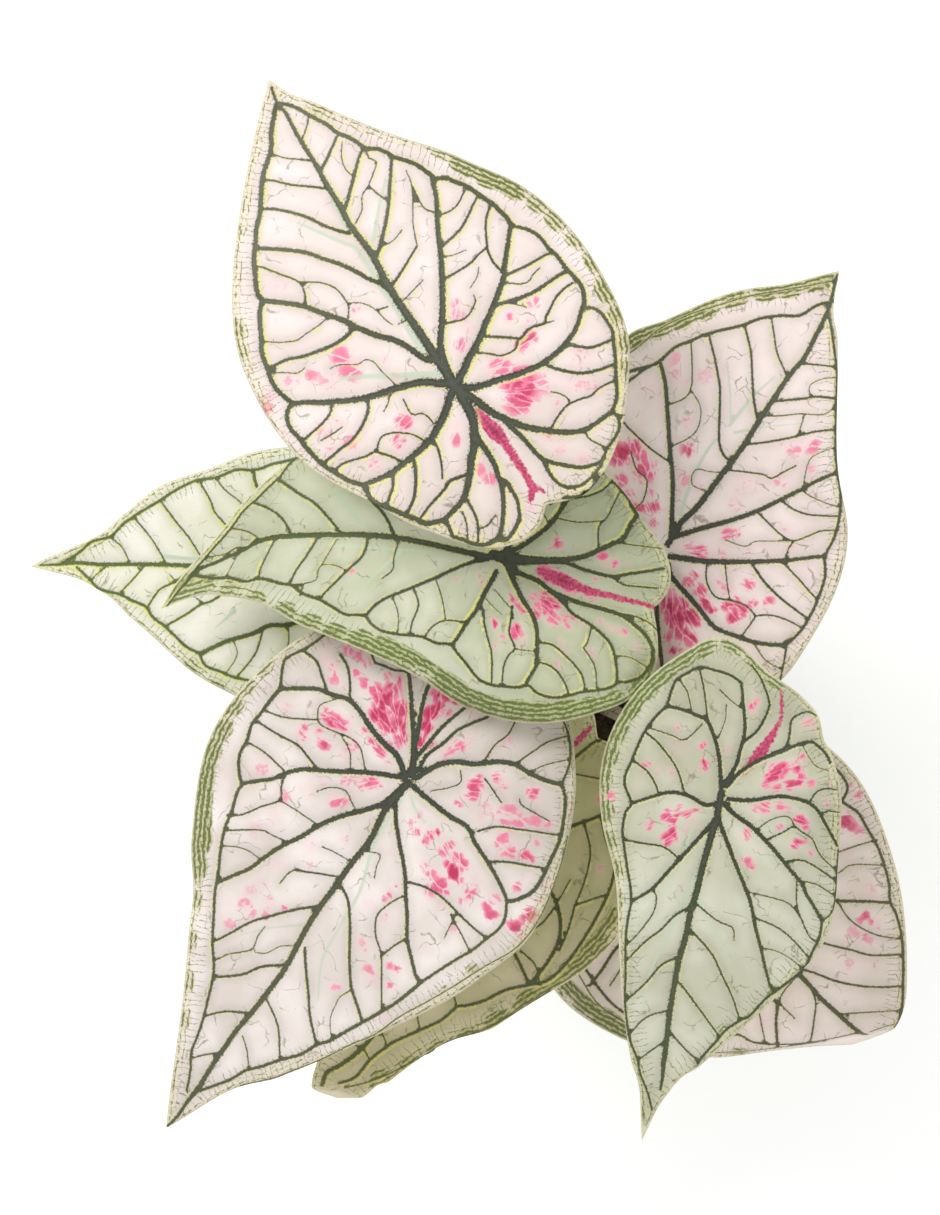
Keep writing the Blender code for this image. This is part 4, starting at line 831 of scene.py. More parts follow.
def lay_out(name, blade):
    """Flat points and triangles of one leaf, and its lines by kind."""
    margin = margin_line(blade)
    lines = {kind: Lines() for kind in ("main", "vein", "crease", "fold", "margin")}
    lines["margin"].add(margin, 0, 0)
    points, edges = [tuple(p) for p in margin[:-1]], []
    count = len(points)
    edges += [(i, (i + 1) % count) for i in range(count)]
    for kind, found in PRINTS[name].items():
        for wide, narrow, way in found:
            line = rounded(way, VEIN_STEP)
            lines[kind if kind in ("crease", "fold") else "vein"].add(line, wide, narrow)
            if kind == "main":
                lines["main"].add(line, wide, narrow)
            first = len(points)
            points += [tuple(p) for p in line]
            edges += [(first + i, first + i + 1) for i in range(len(line) - 1)]
    low, high = margin.min(0), margin.max(0)
    across = np.arange(low[0], high[0], NET_STEP)
    along = np.arange(low[1], high[1], NET_STEP * 0.87)
    grid = np.array([(x + NET_STEP / 2 * (row % 2), y) for row, y in enumerate(along) for x in across])
    grid += rng.uniform(-0.25, 0.25, grid.shape) * NET_STEP
    degrees = np.degrees(np.arctan2(grid[:, 0], grid[:, 1])) % 360
    reach = np.array([blade.margin(d) for d in degrees])
    grid = grid[np.hypot(*grid.T) < reach - 0.9]
    off_vein = lines["vein"].distance(grid)
    off_crease = lines["crease"].distance(grid)
    grid = grid[(off_vein[0] + off_vein[1] > 0.7) & (off_crease[0] + off_crease[1] > 0.7)]
    points += [tuple(p) for p in grid]
    flat, _, faces = geometry.delaunay_2d_cdt([Vector(p) for p in points], edges, [], 1, 0.02)[:3]
    return np.array([tuple(p) for p in flat]), faces, lines


# %% [markdown]
# Then the sheet is lifted to its place. The blade swells a little between its veins, as a real one
# does, and the underside carries the main veins as ribs. Each point keeps what the materials will
# ask for: distance to vein, crease and margin, and its place in the leaf.

# %% One leaf, lifted and given two faces
SHEET, SWELL_MAIN, SWELL_SIDE, RIB = 0.8, 1.3, 0.4, 0.6


def vertex_normals(points, faces):
    corners = points[faces]
    across = np.cross(corners[:, 1] - corners[:, 0], corners[:, 2] - corners[:, 0])
    normals = np.zeros_like(points)
    for k in range(3):
        np.add.at(normals, faces[:, k], across)
    return normals / np.maximum(np.linalg.norm(normals, axis=1, keepdims=True), 1e-12)


def make_leaf(name, blade):
    flat, faces, lines = lay_out(name, blade)
    vein, half, _ = lines["vein"].distance(flat)
    main, _, _ = lines["main"].distance(flat)
    shift = Vector(YELLOW_SIDE[name])
    halo, _, _ = lines["vein"].distance(flat - np.array([shift.dot(blade.aside), shift.dot(blade.forward)]))
    fold, _, _ = lines["fold"].distance(flat)
    crease, _, _ = lines["crease"].distance(flat)
    edge, _, along = lines["margin"].distance(flat)
    reach = np.hypot(*flat.T)
    degrees = np.degrees(np.arctan2(flat[:, 0], flat[:, 1])) % 360
    lifted = []
    for d, r in zip(degrees, reach):
        far = blade.margin(d)
        lifted.append(blade.point(d, min(r / far, 1.0)))
    top = np.array([tuple(p) for p in lifted])
    swell = SWELL_MAIN * (1 - np.exp(-np.maximum(main, 0) / 5)) - 0.7
    swell += SWELL_SIDE * (1 - np.exp(-np.maximum(vein, 0) / 1.5)) - 0.3
    top[:, 2] += swell * np.clip(edge / 4, 0, 1)
    tris = np.array([f for f in faces if len(f) == 3])
    normals = vertex_normals(top, tris)
    if normals[:, 2].sum() < 0:
        tris, normals = tris[:, ::-1], -normals
    rib = RIB * np.maximum(-main, 0)
    under = top - normals * (SHEET * (0.6 + 0.4 * np.clip(edge / 3, 0, 1)) + rib)[:, None]
    count = len(top)
    sides = np.concatenate([tris[:, [0, 1]], tris[:, [1, 2]], tris[:, [2, 0]]])
    there = set(map(tuple, sides))
    rim = np.array([s for s in map(tuple, sides) if (s[1], s[0]) not in there])
    walls = np.concatenate([np.stack([rim[:, 0], rim[:, 0] + count, rim[:, 1] + count], 1),
                            np.stack([rim[:, 0], rim[:, 1] + count, rim[:, 1]], 1)])
    mesh = bpy.data.meshes.new("leaf_" + name)
    mesh.from_pydata(np.concatenate([top, under]) * MM, [], np.concatenate([tris, tris[:, ::-1] + count, walls]))
    angle = np.radians(degrees)
    facts = {"vein": vein, "vein_half": half, "main": main, "halo": halo, "crease": crease, "fold": fold,
             "edge": edge, "along": along * MARGIN_STEP, "reach": reach,
             "blush": patches(PINK, name, flat, 1.7), "olive": patches(OLIVE, name, flat, 2.5)}
    for fact, values in facts.items():
        mesh.attributes.new(fact, "FLOAT", "POINT").data.foreach_set(
            "value", np.tile(values, 2).astype(np.float32))
    plan = np.stack([flat[:, 0], flat[:, 1], 0 * reach], 1)
    spoke = np.stack([60 * np.sin(angle), 60 * np.cos(angle), reach], 1)
    for fact, values in (("plan", plan), ("spoke", spoke)):
        mesh.attributes.new(fact, "FLOAT_VECTOR", "POINT").data.foreach_set(
            "vector", np.tile(values, (2, 1)).astype(np.float32).ravel())
    mesh.materials.append(UPPER_SKIN[name])
    mesh.materials.append(UNDER_SKIN)
    face_skin = np.zeros(len(mesh.polygons), np.int32)
    face_skin[len(tris):2 * len(tris)] = 1
    mesh.polygons.foreach_set("material_index", face_skin)
    mesh.shade_smooth()
    leaf = bpy.data.objects.new("leaf_" + name, mesh)
    scene.collection.objects.link(leaf)
    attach(leaf, "root")
    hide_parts("blade_" + name)
    return len(mesh.polygons)

# %% [markdown]
# ## Leaf skin
#
# A caladium's leaf has a thin satin skin over white, pink or green tissue. Its veins are dark
# grey-green with a frayed edge, and yellow tissue shows along one side of them. Pink cells lie in
# clusters, long in the direction of the hub. Outside the last ring vein run broken olive stripes.
# `add` puts one node in a material and returns its output.

# %% Colour and node helpers
def linear(hex_colour):
    """An sRGB hex colour as linear RGBA."""
    channels = [int(hex_colour[i:i + 2], 16) / 255 for i in (1, 3, 5)]
    return tuple(c / 12.92 if c <= 0.04045 else ((c + 0.055) / 1.055) ** 2.4 for c in channels) + (1.0,)


def add(tree, kind, inputs=None, out=None, **settings):
    """One shader node; inputs gives each socket a value or another node's output."""
    made = tree.nodes.new("ShaderNode" + kind)
    for name, value in settings.items():
        setattr(made, name, value)
    for name, value in (inputs or {}).items():
        if isinstance(name, int):
            socket = made.inputs[name]
        else:
            socket = next(s for s in made.inputs if s.enabled and s.name == name)
        if isinstance(value, bpy.types.NodeSocket):
            tree.links.new(value, socket)
        else:
            socket.default_value = value
    return made.outputs[out] if out else next(s for s in made.outputs if s.enabled)


def new_material(name, **shader_settings):
    """An empty node material, its tree and its Principled shader."""
    made = bpy.data.materials.new(name)
    made.use_nodes = True
    shader = made.node_tree.nodes["Principled BSDF"]
    for socket, value in shader_settings.items():
        shader.inputs[socket.replace("_", " ")].default_value = value
    return made, made.node_tree, shader


# %% [markdown]
# Where the pink lies is a matter of the single leaf, so each leaf lists its blotches: (aside, ahead,
# radius, strength), in mm from its hub. Its tone, and the side on which the yellow shows, are its own.

# %% What differs from leaf to leaf
PINK = {
    "upper": """
        24,-13,9,1 21,-18.5,7.5,0.9 33,-17.5,5,0.6 44.5,-22.5,6,0.5 49,-27.5,4,0.5 34,-28.5,3.5,0.5
        20.5,-2,6,0.8 32.5,1,4,0.9 37,2,4,0.9 34,13.5,3,0.9 45.5,14,3.5,0.7 40.5,8,2,0.6 17,29,3,0.7
        15.5,25,3.5,0.7 11,13,4,0.8 17,17,3.5,0.4 51.5,-14.5,6,0.5 -25,-3,4,1 -31,-9,4,0.9
        -44.5,-12.5,3.5,0.7 -49,1,4,0.6 -42.5,2,3.5,0.6 -56,9.5,4,0.6 -49.5,12,3.5,0.5 -34.5,34.5,5,0.8
        -34,27,6,0.8 -43.5,27.5,5,0.5 -48.5,33.5,3.5,0.6 -19.5,23.5,2.5,0.6 -19.5,15,2.5,0.6 -58,35,4,0.5
        -72,32,5,0.7 -74.5,30,4,0.8 -68,34.5,3.5,0.6 -71,17,4,0.4 -57,3.5,2.5,0.6 -19,48,2.5,0.8
        -43.5,73,3.5,0.5 -39.5,70.5,2,0.6 -8,-35.5,3.5,0.7 -6,-41,3.5,0.7 -10.5,-19.5,3.5,0.7
        -7,-14.5,2.5,0.6 22.5,-38.5,3.5,0.6 25,-44.5,3.5,0.6 31.5,-52.5,3.5,0.7 2.5,-59.5,2.5,0.7""",
    "right": """
        -38,22.5,6,1 -35.5,28,4,1 -26,22.5,6,0.9 -32,14,4,0.9 -19.5,8.5,3.5,0.9 -14.5,12,3,0.9 -19,16,2,0.8
        -11.5,5.5,2.5,0.8 -26,10.5,3,0.8 -31,27,4,0.9 -36.5,64,3.5,0.6 -32,63.5,2.5,0.5 -36.5,70,2.5,0.4
        -21,49,3.5,0.6 -15,39.5,3.5,0.9 -39,69,4,0.4 -7.5,29,6,0.5 -18.5,76.5,4,0.4 -43,54,5,0.35
        -25.5,70,5,0.25 -37,38,2.5,0.4 23,63.5,5,0.6 28.5,68,4,0.7 18.5,62.5,3.5,0.5 33,60,3,0.7
        24.5,49,4,0.6 13,39.5,5,0.35 14,30,3.5,0.4 17.5,44.5,3.5,0.4 12,5.5,4,0.9 17,18,3,0.9
        20.5,20.5,2.5,0.9 19.5,10,3,0.7 29.5,16.5,2.5,0.5 7,5,3.5,0.6 32.5,22,2.5,0.4 42,28.5,3,0.6
        36.5,33.5,2.5,0.4 20,-8,3.5,1 14,-7.5,3,1 15,-3.5,2.5,0.8 24.5,-11.5,3,1 28.5,-12.5,2,1
        25.5,-1,3.5,0.6 29.5,-2,3,0.7 35.5,-5,3.5,1 33,-7.5,3,1 39.5,-6,3,1 38.5,-10,4,1 36,4.5,3,0.9
        41.5,-1,2.5,0.9 46.5,3.5,3,0.8 46.5,1,2.5,0.7 24,9.5,12.5,0.2 55,23.5,3.5,0.3 57.5,-1,2,0.4
        13.5,-21.5,4,1.1 17.5,-24,5,1.2 22,-19,4,1.2 17,-17,4,1.1 25,-19.5,3.5,1.1 22.5,-27.5,4,1.1
        27.5,-28,4,1 19,-31.5,3,0.9 23,-36.5,2.5,1 24.5,-33.5,2.5,0.9 7,-18.5,2.5,0.7 13,-16.5,3,0.8
        10,-14,2.5,0.6 9.5,-19,3.5,0.9""",
    "lower_left": """
        38.5,-1,4,1.1 42.5,-1.5,3.5,1 34.5,-1,3.5,1 34,-6,2,0.7 47.5,9.5,3,0.9 45,12,2,0.9 42,6.5,2.5,0.9
        36.5,9.5,3,0.9 48,12.5,2.5,0.5 21,-3.5,2.5,1 26,-5,2,0.9 17,-1.5,2.5,1 14,-1,2,1 10.5,0.5,2,0.8
        27,3,3.5,0.7 27,8,4,0.4 52.5,32.5,5,0.5 48.5,25.5,3.5,0.3 59.5,5,3.5,0.3 51,-1,3.5,0.3 27,-20,5,1.2
        26,-25.5,4,1.1 24.5,-14,5,1.2 18.5,-20.5,5,1.2 16,-15,4.5,1.2 19.5,-12,4,1.1 11.5,-11.5,3.5,1
        12,-7,3.5,0.6 32,-21.5,3.5,1 37,-21.5,3.5,0.9 43,-23,3,0.9 41,-29,3,0.8 45.5,-30,3.5,0.8
        50,-29.5,3.5,0.8 31,-30,2.5,0.8 26,-31.5,3,0.9 23,-35.5,2,0.9 52,-19,3,0.9 48.5,-15.5,3,0.7
        56.5,-20,3,0.5 58.5,-26.5,4,0.5 42.5,-14.5,4,0.3 9.5,-34.5,3,1.2 7.5,-27,4,1.2 5.5,-20.5,3.5,1.2
        4,-14,3,1.2 6,-35.5,2.5,1.2 6,-31.5,3,1.2 0,-15.5,2.5,1 1.5,-36,2,1 1.5,-31,2,0.8 -8,-37.5,3,0.6
        -10.5,-22.5,3,0.9 -8,-18.5,3,0.8 -12,-27.5,2.5,0.6 -8,-16,3,0.6 -25,-35,3.5,0.5 -25.5,-11.5,4,1.1
        -27,-8.5,3,1 -25.5,-15.5,2.5,0.9 -31,-20,3,1 -35,-19,2.5,0.8 -47,-23.5,3.5,0.9 -24,-2.5,2.5,0.8
        -26,-7,2.5,0.7 -33.5,-8,2.5,0.6 -38.5,-8,3,0.6 -43,-12,3.5,0.6 -34.5,-2,3,0.5 -49.5,-10,4,0.7
        -44.5,-6.5,3,0.7 -54.5,-14,3.5,0.6 -60.5,-16.5,2,0.7 -47.5,-0.5,3.5,0.8 -49,-5,2,0.8
        -46.5,2.5,2.5,0.7 -60.5,-7,2,0.7 -50,5.5,2.5,0.7 -54,2.5,3,0.9 -59,0,3,1 -62,0.5,2.5,0.9
        -64,12.5,2.5,0.8 -64.5,6.5,2.5,0.4 -51.5,0,4,0.4 12,11.5,3.5,1 14,15.5,2.5,0.8 8.5,10.5,2.5,0.8
        20.5,17.5,2.5,0.8 18,14,3.5,0.5 28,23,2,0.6 31,28.5,3.5,0.4 17.5,25.5,2.5,0.9 19.5,27.5,2.5,0.8
        16,22.5,2,0.7 21,24.5,2.5,0.5 38.5,37.5,3.5,0.5 38,44,4,0.3 37,53.5,8.5,0.2 17.5,48,3.5,0.5
        7,37.5,2.5,0.5 25,63,3.5,0.5 13,55,2.5,0.4 25.5,73.5,3.5,0.5 28,78,3,0.4 26,84.5,3.5,0.7
        18,77.5,3.5,0.7 22.5,85.5,3.5,0.6 11.5,76,1.5,0.9 16,83.5,2,0.8 26.5,95,3.5,0.4 -13,11,2,0.9
        -16.5,17.5,2.5,0.9 -21.5,19.5,2,0.9 -11.5,16.5,2,0.7 -23,13,2,1 -22,15.5,2.5,1 -29,15.5,2,0.9
        -31,14.5,2.5,0.9 -30,18.5,2.5,0.8 -36,17,3,1 -35.5,21.5,3,1 -39,23,3.5,1.1 -42.5,24,2.5,0.9
        -40.5,18,3,0.9 -27.5,28,3,0.7 -31.5,29,3.5,0.8 -37,30.5,4,1 -40.5,31,2.5,0.9 -35.5,34,3.5,0.8
        -49,26.5,3,1 -48.5,30.5,2.5,0.6 -49,20,3.5,0.5 -58,26.5,3,0.9 -61.5,29,3,1 -59.5,23,3.5,0.6
        -63.5,27.5,2.5,0.8 -75,19.5,3.5,1 -73,27.5,3.5,1 -74.5,22.5,2.5,0.9 -70,28.5,2.5,0.7
        -76.5,29,2.5,0.6 -74.5,5,4,0.6 -75,12,3.5,0.4 -21.5,45.5,2,1 -21,48.5,1.5,0.9 -21.5,41.5,1.5,0.8
        -14,31,2.5,0.5 -10.5,31,2,0.4 -26,56,2.5,0.6 -17.5,54.5,3,0.4 -51.5,42.5,2.5,0.5 -41.5,37.5,2.5,0.4
        -24.5,90.5,3.5,0.6 -32,77.5,2.5,0.6 -36,80,3.5,0.6 -25,69.5,3.5,0.4 -39,71,2,0.9 -42.5,70.5,2,0.9
        -43.5,77.5,2,0.8 -30.5,66,2.5,0.5 -47,57,3,0.3 -49,89.5,2,0.6 -48.5,92,2,0.5""",
    "middle": """
        -10.5,-24.5,4,1.1 -12,-28,3.5,1 -13,-23,3,0.9 -16.5,-27,2.5,0.9 -11,-18.5,2.5,0.9 -15,-24.5,3.5,1
        -17.5,-23,3,1 -19.5,-27.5,2.5,1 -21,-30,2,1 -14.5,-20.5,2,0.9 -18.5,-32.5,2.5,0.9 -21,-35,2,0.8
        -17,-36.5,2,0.7 -19,-41,2,0.6 -26,-14,2.5,1.1 -28.5,-14.5,2.5,1.1 -26,-5.5,2,1 -24,-4,1.5,0.9
        -30.5,-9.5,2,0.8 -34.5,-8,2,0.7 -28,-18.5,2,0.6 -31.5,-18,2,0.6 -14.5,-10.5,1.5,1 -16,-13,1.5,1
        -18.5,-15.5,1.5,1 -11.5,-9,1.5,0.9 -27.5,-33.5,2,0.6 -31,-35,2.5,0.5 -31.5,-37,2,0.6
        -36.5,-33.5,1.5,0.7 -38.5,-35.5,1.5,0.6 12.5,-24,2.5,0.9 9,-20.5,1.5,0.6 11,-44,2.5,1
        10.5,-41.5,1.5,0.9 8.5,-48.5,2.5,0.9 7.5,-45,1.5,0.7 10,-54.5,1.5,0.5 -16,-48,2,0.8
        -17.5,-52.5,2,0.9 -18,-56,2,0.9 -18.5,-59,2,0.8 -28.5,-46.5,2,0.6 -31.5,-49,1.5,0.6 -22.5,-64,2,0.6
        -23.5,-66.5,2,0.6 -10.5,14,1.5,0.7 -7,5,1.5,0.9 -10,3.5,1.5,0.8 -12.5,57.5,1.5,0.6 -6,-35.5,2.5,0.8
        -6,-41.5,2.5,0.8 -7,-44,1.5,0.6 1.5,-42.5,1.5,0.6 -29,-74,3.5,0.8 -2.5,-28,3.5,1.2 -4,-32,3.5,1.2
        -4.5,-34.5,2.5,1.1 -1,-23.5,3.5,1.1 0,-20.5,2.5,1""",
    "lower_right": """
        11.5,-12,2,1.1 11.5,-9.5,2,1 14,-18.5,2,0.9 15.5,-18.5,1.5,0.8 26.5,-23.5,2,0.7 24.5,-5.5,2,0.8
        34.5,-5.5,2,0.8 36.5,-4,2,0.7 30,-3.5,2,0.6 24,-3.5,1.5,0.6 37.5,5.5,1.5,0.5 23.5,-16.5,5,0.3
        22.5,14.5,2.5,1 19,15.5,2.5,1 22,12,2,0.9 18,12.5,2,0.9 17.5,9,2,0.7 18,20,2.5,1 20,22.5,2.5,1
        16,21.5,2,0.9 28,19,2.5,0.9 28.5,20.5,2,0.7 19,24.5,2,0.9 13.5,11.5,2.5,0.8 11,8.5,2,0.8
        10.5,12.5,1.5,0.7 8.5,15.5,1.5,0.6 12.5,17.5,2.5,0.5 -2.5,-37.5,2,0.9 -2.5,-39.5,1.5,0.9
        -4,-42,2,0.6 -1,-44.5,1.5,0.5 3.5,-19.5,1.5,0.8 4,-17.5,1.5,0.7 -11.5,-31,2,0.4 -17.5,-15,3.5,1.1
        -20.5,-17,3,1.1 -16,-11.5,2.5,1 -20,-12.5,2.5,0.9 -26.5,-17.5,2.5,1 -28.5,-14.5,2.5,1 -25,-10.5,3,1
        -28,-12,2.5,1 -20,-7.5,2.5,0.9 -15,-8,2,0.8 -27.5,-23,2,0.9 -24.5,-20.5,2,0.8 -33.5,-13.5,2,0.8
        -31,-11,1.5,0.7 -41,-15,1.5,0.5 -17,1,3.5,0.9 -23,-0.5,3,0.9 -27,-1,2,0.8 -13,2,2.5,0.8
        -32.5,2.5,2.5,1.1 -35,4.5,2.5,1.1 -30,2.5,1.5,0.9 -25,7.5,2,0.7 -33,13,2.5,1.1 -36,11.5,1.5,0.8
        -40,15,2,0.9 -11.5,13,2,0.9 -12.5,15,2,0.9 -9,13.5,1.5,0.6 -17,19,3.5,0.3 -13,24.5,1.5,0.9
        -15,24,1.5,0.8 -17.5,26.5,1.5,0.9 -15.5,26,1.5,0.7 -42,-6.5,1.5,0.9 -41.5,-8,1.5,0.6
        46.5,11.5,2.5,0.8 49,11,2,0.7 44.5,17.5,2,0.5 46.5,8.5,1.5,0.6 -14.5,71.5,1.5,0.3 -11,66,1.5,0.4
        -27.5,-37,3.5,0.4 10.5,38.5,2,0.4""",
    "back_right": """
        -77.5,20,3,0.8 -80.5,19.5,2.5,0.7 -78,14.5,2,0.5 -66.5,25.5,4,0.9 -67,29,3.5,0.8 -68.5,34,3,0.7
        -78.5,27.5,1.5,0.6 -50.5,64,2.5,0.9 -51,68,2,0.9 -47,64.5,2,0.8 -52,71,1.5,0.8 -43.5,71,3.5,0.5
        -41.5,66.5,3,0.4 -45,74.5,3,0.4 -35.5,69.5,2.5,0.3 -58,56.5,4,0.4 -32.5,77.5,4,0.35
        -37.5,78.5,3.5,0.4 -42.5,82,2.5,0.3 11,76,4,0.4 10,71,3.5,0.35 53.5,14,3.5,0.5 47.5,13,2.5,0.5
        -59,38.5,3.5,0.3""",
    "back_left": """
        -25.5,-51,2.5,0.5 -21,-46,2.5,0.5 -30.5,-24.5,2.5,0.5 -29.5,-39,2.5,0.6 -44,-13,2,0.4""",
    "left": """
        -14.5,70.5,2.5,0.2""",
}
OLIVE = {
    "upper": """
        11,128.5,3.5,0.5 43.5,87,3.5,0.5 49.5,77.5,6.5,0.9 56,68,6.5,1 60.5,59.5,6,1 66.5,49,4,0.7
        70,39,4,0.7 73.5,28,3.5,0.6 75,16.5,4,0.8 74,3.5,5,0.9 73,-7.5,4,0.8 70.5,-19.5,4,0.7
        66.5,-29,3.5,0.7 -66.5,64.5,4,0.6 -70,56,3.5,0.5 -45,101,2.5,0.4""",
    "right": """
        -59,68.5,5,1 -54,76.5,5.5,1 -47,85.5,5.5,1 -40,94,5.5,0.95 -31.5,104,5.5,0.9 -22,113,5,0.9
        -14,120,5,0.8 -6,127.5,5,0.9 -2,133,3.5,0.8 -53.5,61.5,3.5,0.7""",
    "middle": """
        2,126.5,6,0.8 -0.5,117,5,0.8 -9,106.5,4,0.6 -19,95,4,0.7 -27.5,81.5,5,0.8 -33.5,70.5,5,0.8
        -38.5,59.5,5,0.9 -42,48.5,5.5,1 -43.5,37.5,6,1 -43.5,27,6.5,1 -44.5,18.5,6.5,1 -51.5,8.5,7,1
        -56,0.5,7,1 -58,-10,6.5,1 -58.5,-20.5,6,1 -57.5,-31,6,1 -54,-41,5.5,1 -51,-51,5,1 -46.5,-59.5,5,0.9
        -38,-70.5,5,1 -30,-75,4,0.9""",
    "lower_left": """
        77,-3,4,0.7 78.5,8,4,0.7 78,18,4.5,0.8 75.5,29,5,0.9 74,39,5.5,0.9 70,48.5,6.5,1 65,57.5,6.5,1
        61,65,6.5,1 56.5,72,6.5,1 52,82,5.5,0.9 45,95,4,0.5 36.5,110,4,0.5 28,124.5,4,0.5 19.5,139.5,4,0.4
        -60.5,65.5,3,0.6 -66.5,51.5,3,0.6 -51.5,82,2.5,0.5""",
    "lower_right": """
        24.5,-58.5,5,0.9 32,-52.5,5.5,1 39,-45.5,6.5,1 43,-37,6.5,1 47.5,-27.5,6.5,1 50,-16.5,6.5,0.9
        51.5,-5.5,5.5,0.9 51,5,5,0.8 48,17.5,4.5,0.8 44,29.5,4,0.7 39,41,4,0.7 34.5,53,3.5,0.6
        11,-63.5,5,0.8 -1,-57.5,5,0.8 -9,-51,4,0.7 -20,94.5,2.5,0.6 -37,75,2.5,0.6 4,137.5,3.5,0.6""",
    "back_left": """
        4.5,119.5,4,0.7 -5,110.5,4.5,0.8 -14.5,100.5,5,0.9 -23,89.5,5.5,0.9 -31,78,5.5,0.9 -38.5,65,6,1
        -45.5,51.5,6.5,1 -51.5,40,6.5,1 -54.5,28,7.5,1 -55.5,16,7.5,1 -54,3.5,6.5,1""",
    "back_right": """
        67.5,15,6.5,1 67,25.5,6.5,1 65.5,37,6.5,1 66,45.5,5.5,1 27.5,81,3.5,0.6 59.5,52,6,0.9""",
    "left": """
        -41.5,83,4,0.6 -30,100,3,0.4 -50.5,72,4,0.7""",
}
YELLOW_SIDE = {"upper": (1.1, -0.4), "right": (-0.6, -0.3), "left": (-0.7, -0.6), "middle": (-0.9, 0.3),
               "lower_left": (-0.5, -0.4), "lower_right": (0.3, -0.4), "back_left": (0.5, -0.8),
               "back_right": (-0.3, -0.3)}
# shade: the painted shade colour that the ground turns to in broad clouds and towards the rear lobes
Tone = namedtuple("Tone", "ground shade vein yellow stripe seed")
TONES = {
    "upper": Tone("#ECDFDA", "#DDCFC6", "#5B6042", "#DDD58F", "#BDB878", 1),
    "right": Tone("#EEE0DB", "#DDCDC6", "#5A5E4A", "#DDD59A", "#B9B77C", 2),
    "left": Tone("#EEEBDF", "#DCDCC3", "#64743E", "#DEDA84", "#B5C07E", 3),
    "middle": Tone("#CCCEB6", "#B5BA9B", "#56613A", "#D6D182", "#9DAE6C", 4),
    "lower_left": Tone("#EAE1DB", "#D2C7BE", "#5C6046", "#DAD3A2", "#A8A676", 5),
    "lower_right": Tone("#CFD0BB", "#B9B9A0", "#525B3D", "#CFCD95", "#A4B284", 6),
    "back_left": Tone("#D3C7A4", "#BDB48B", "#63683C", "#D8CD80", "#B7A964", 7),
    "back_right": Tone("#EBDDD5", "#DCCDC1", "#5F5F45", "#D8CF98", "#9A8F62", 8),
}


PATCH_REACH = 1.35


def patches(table, name, flat, rise):
    """How strongly the blotches of one table show at each flat place of one leaf."""
    most = np.zeros(len(flat))
    for word in table.get(name, "").split():
        aside, ahead, radius, strength = (float(number) for number in word.split(","))
        near = 1 - np.hypot(flat[:, 0] - aside, flat[:, 1] - ahead) / (radius * PATCH_REACH)
        most = np.maximum(most, strength * np.clip(rise * near, 0, 1))
    return most


# %% [markdown]
# The upper skin is built layer by layer: ground, faint net, pink cells, stripes at the margin, pale
# creases, yellow edges, and last the dark veins.

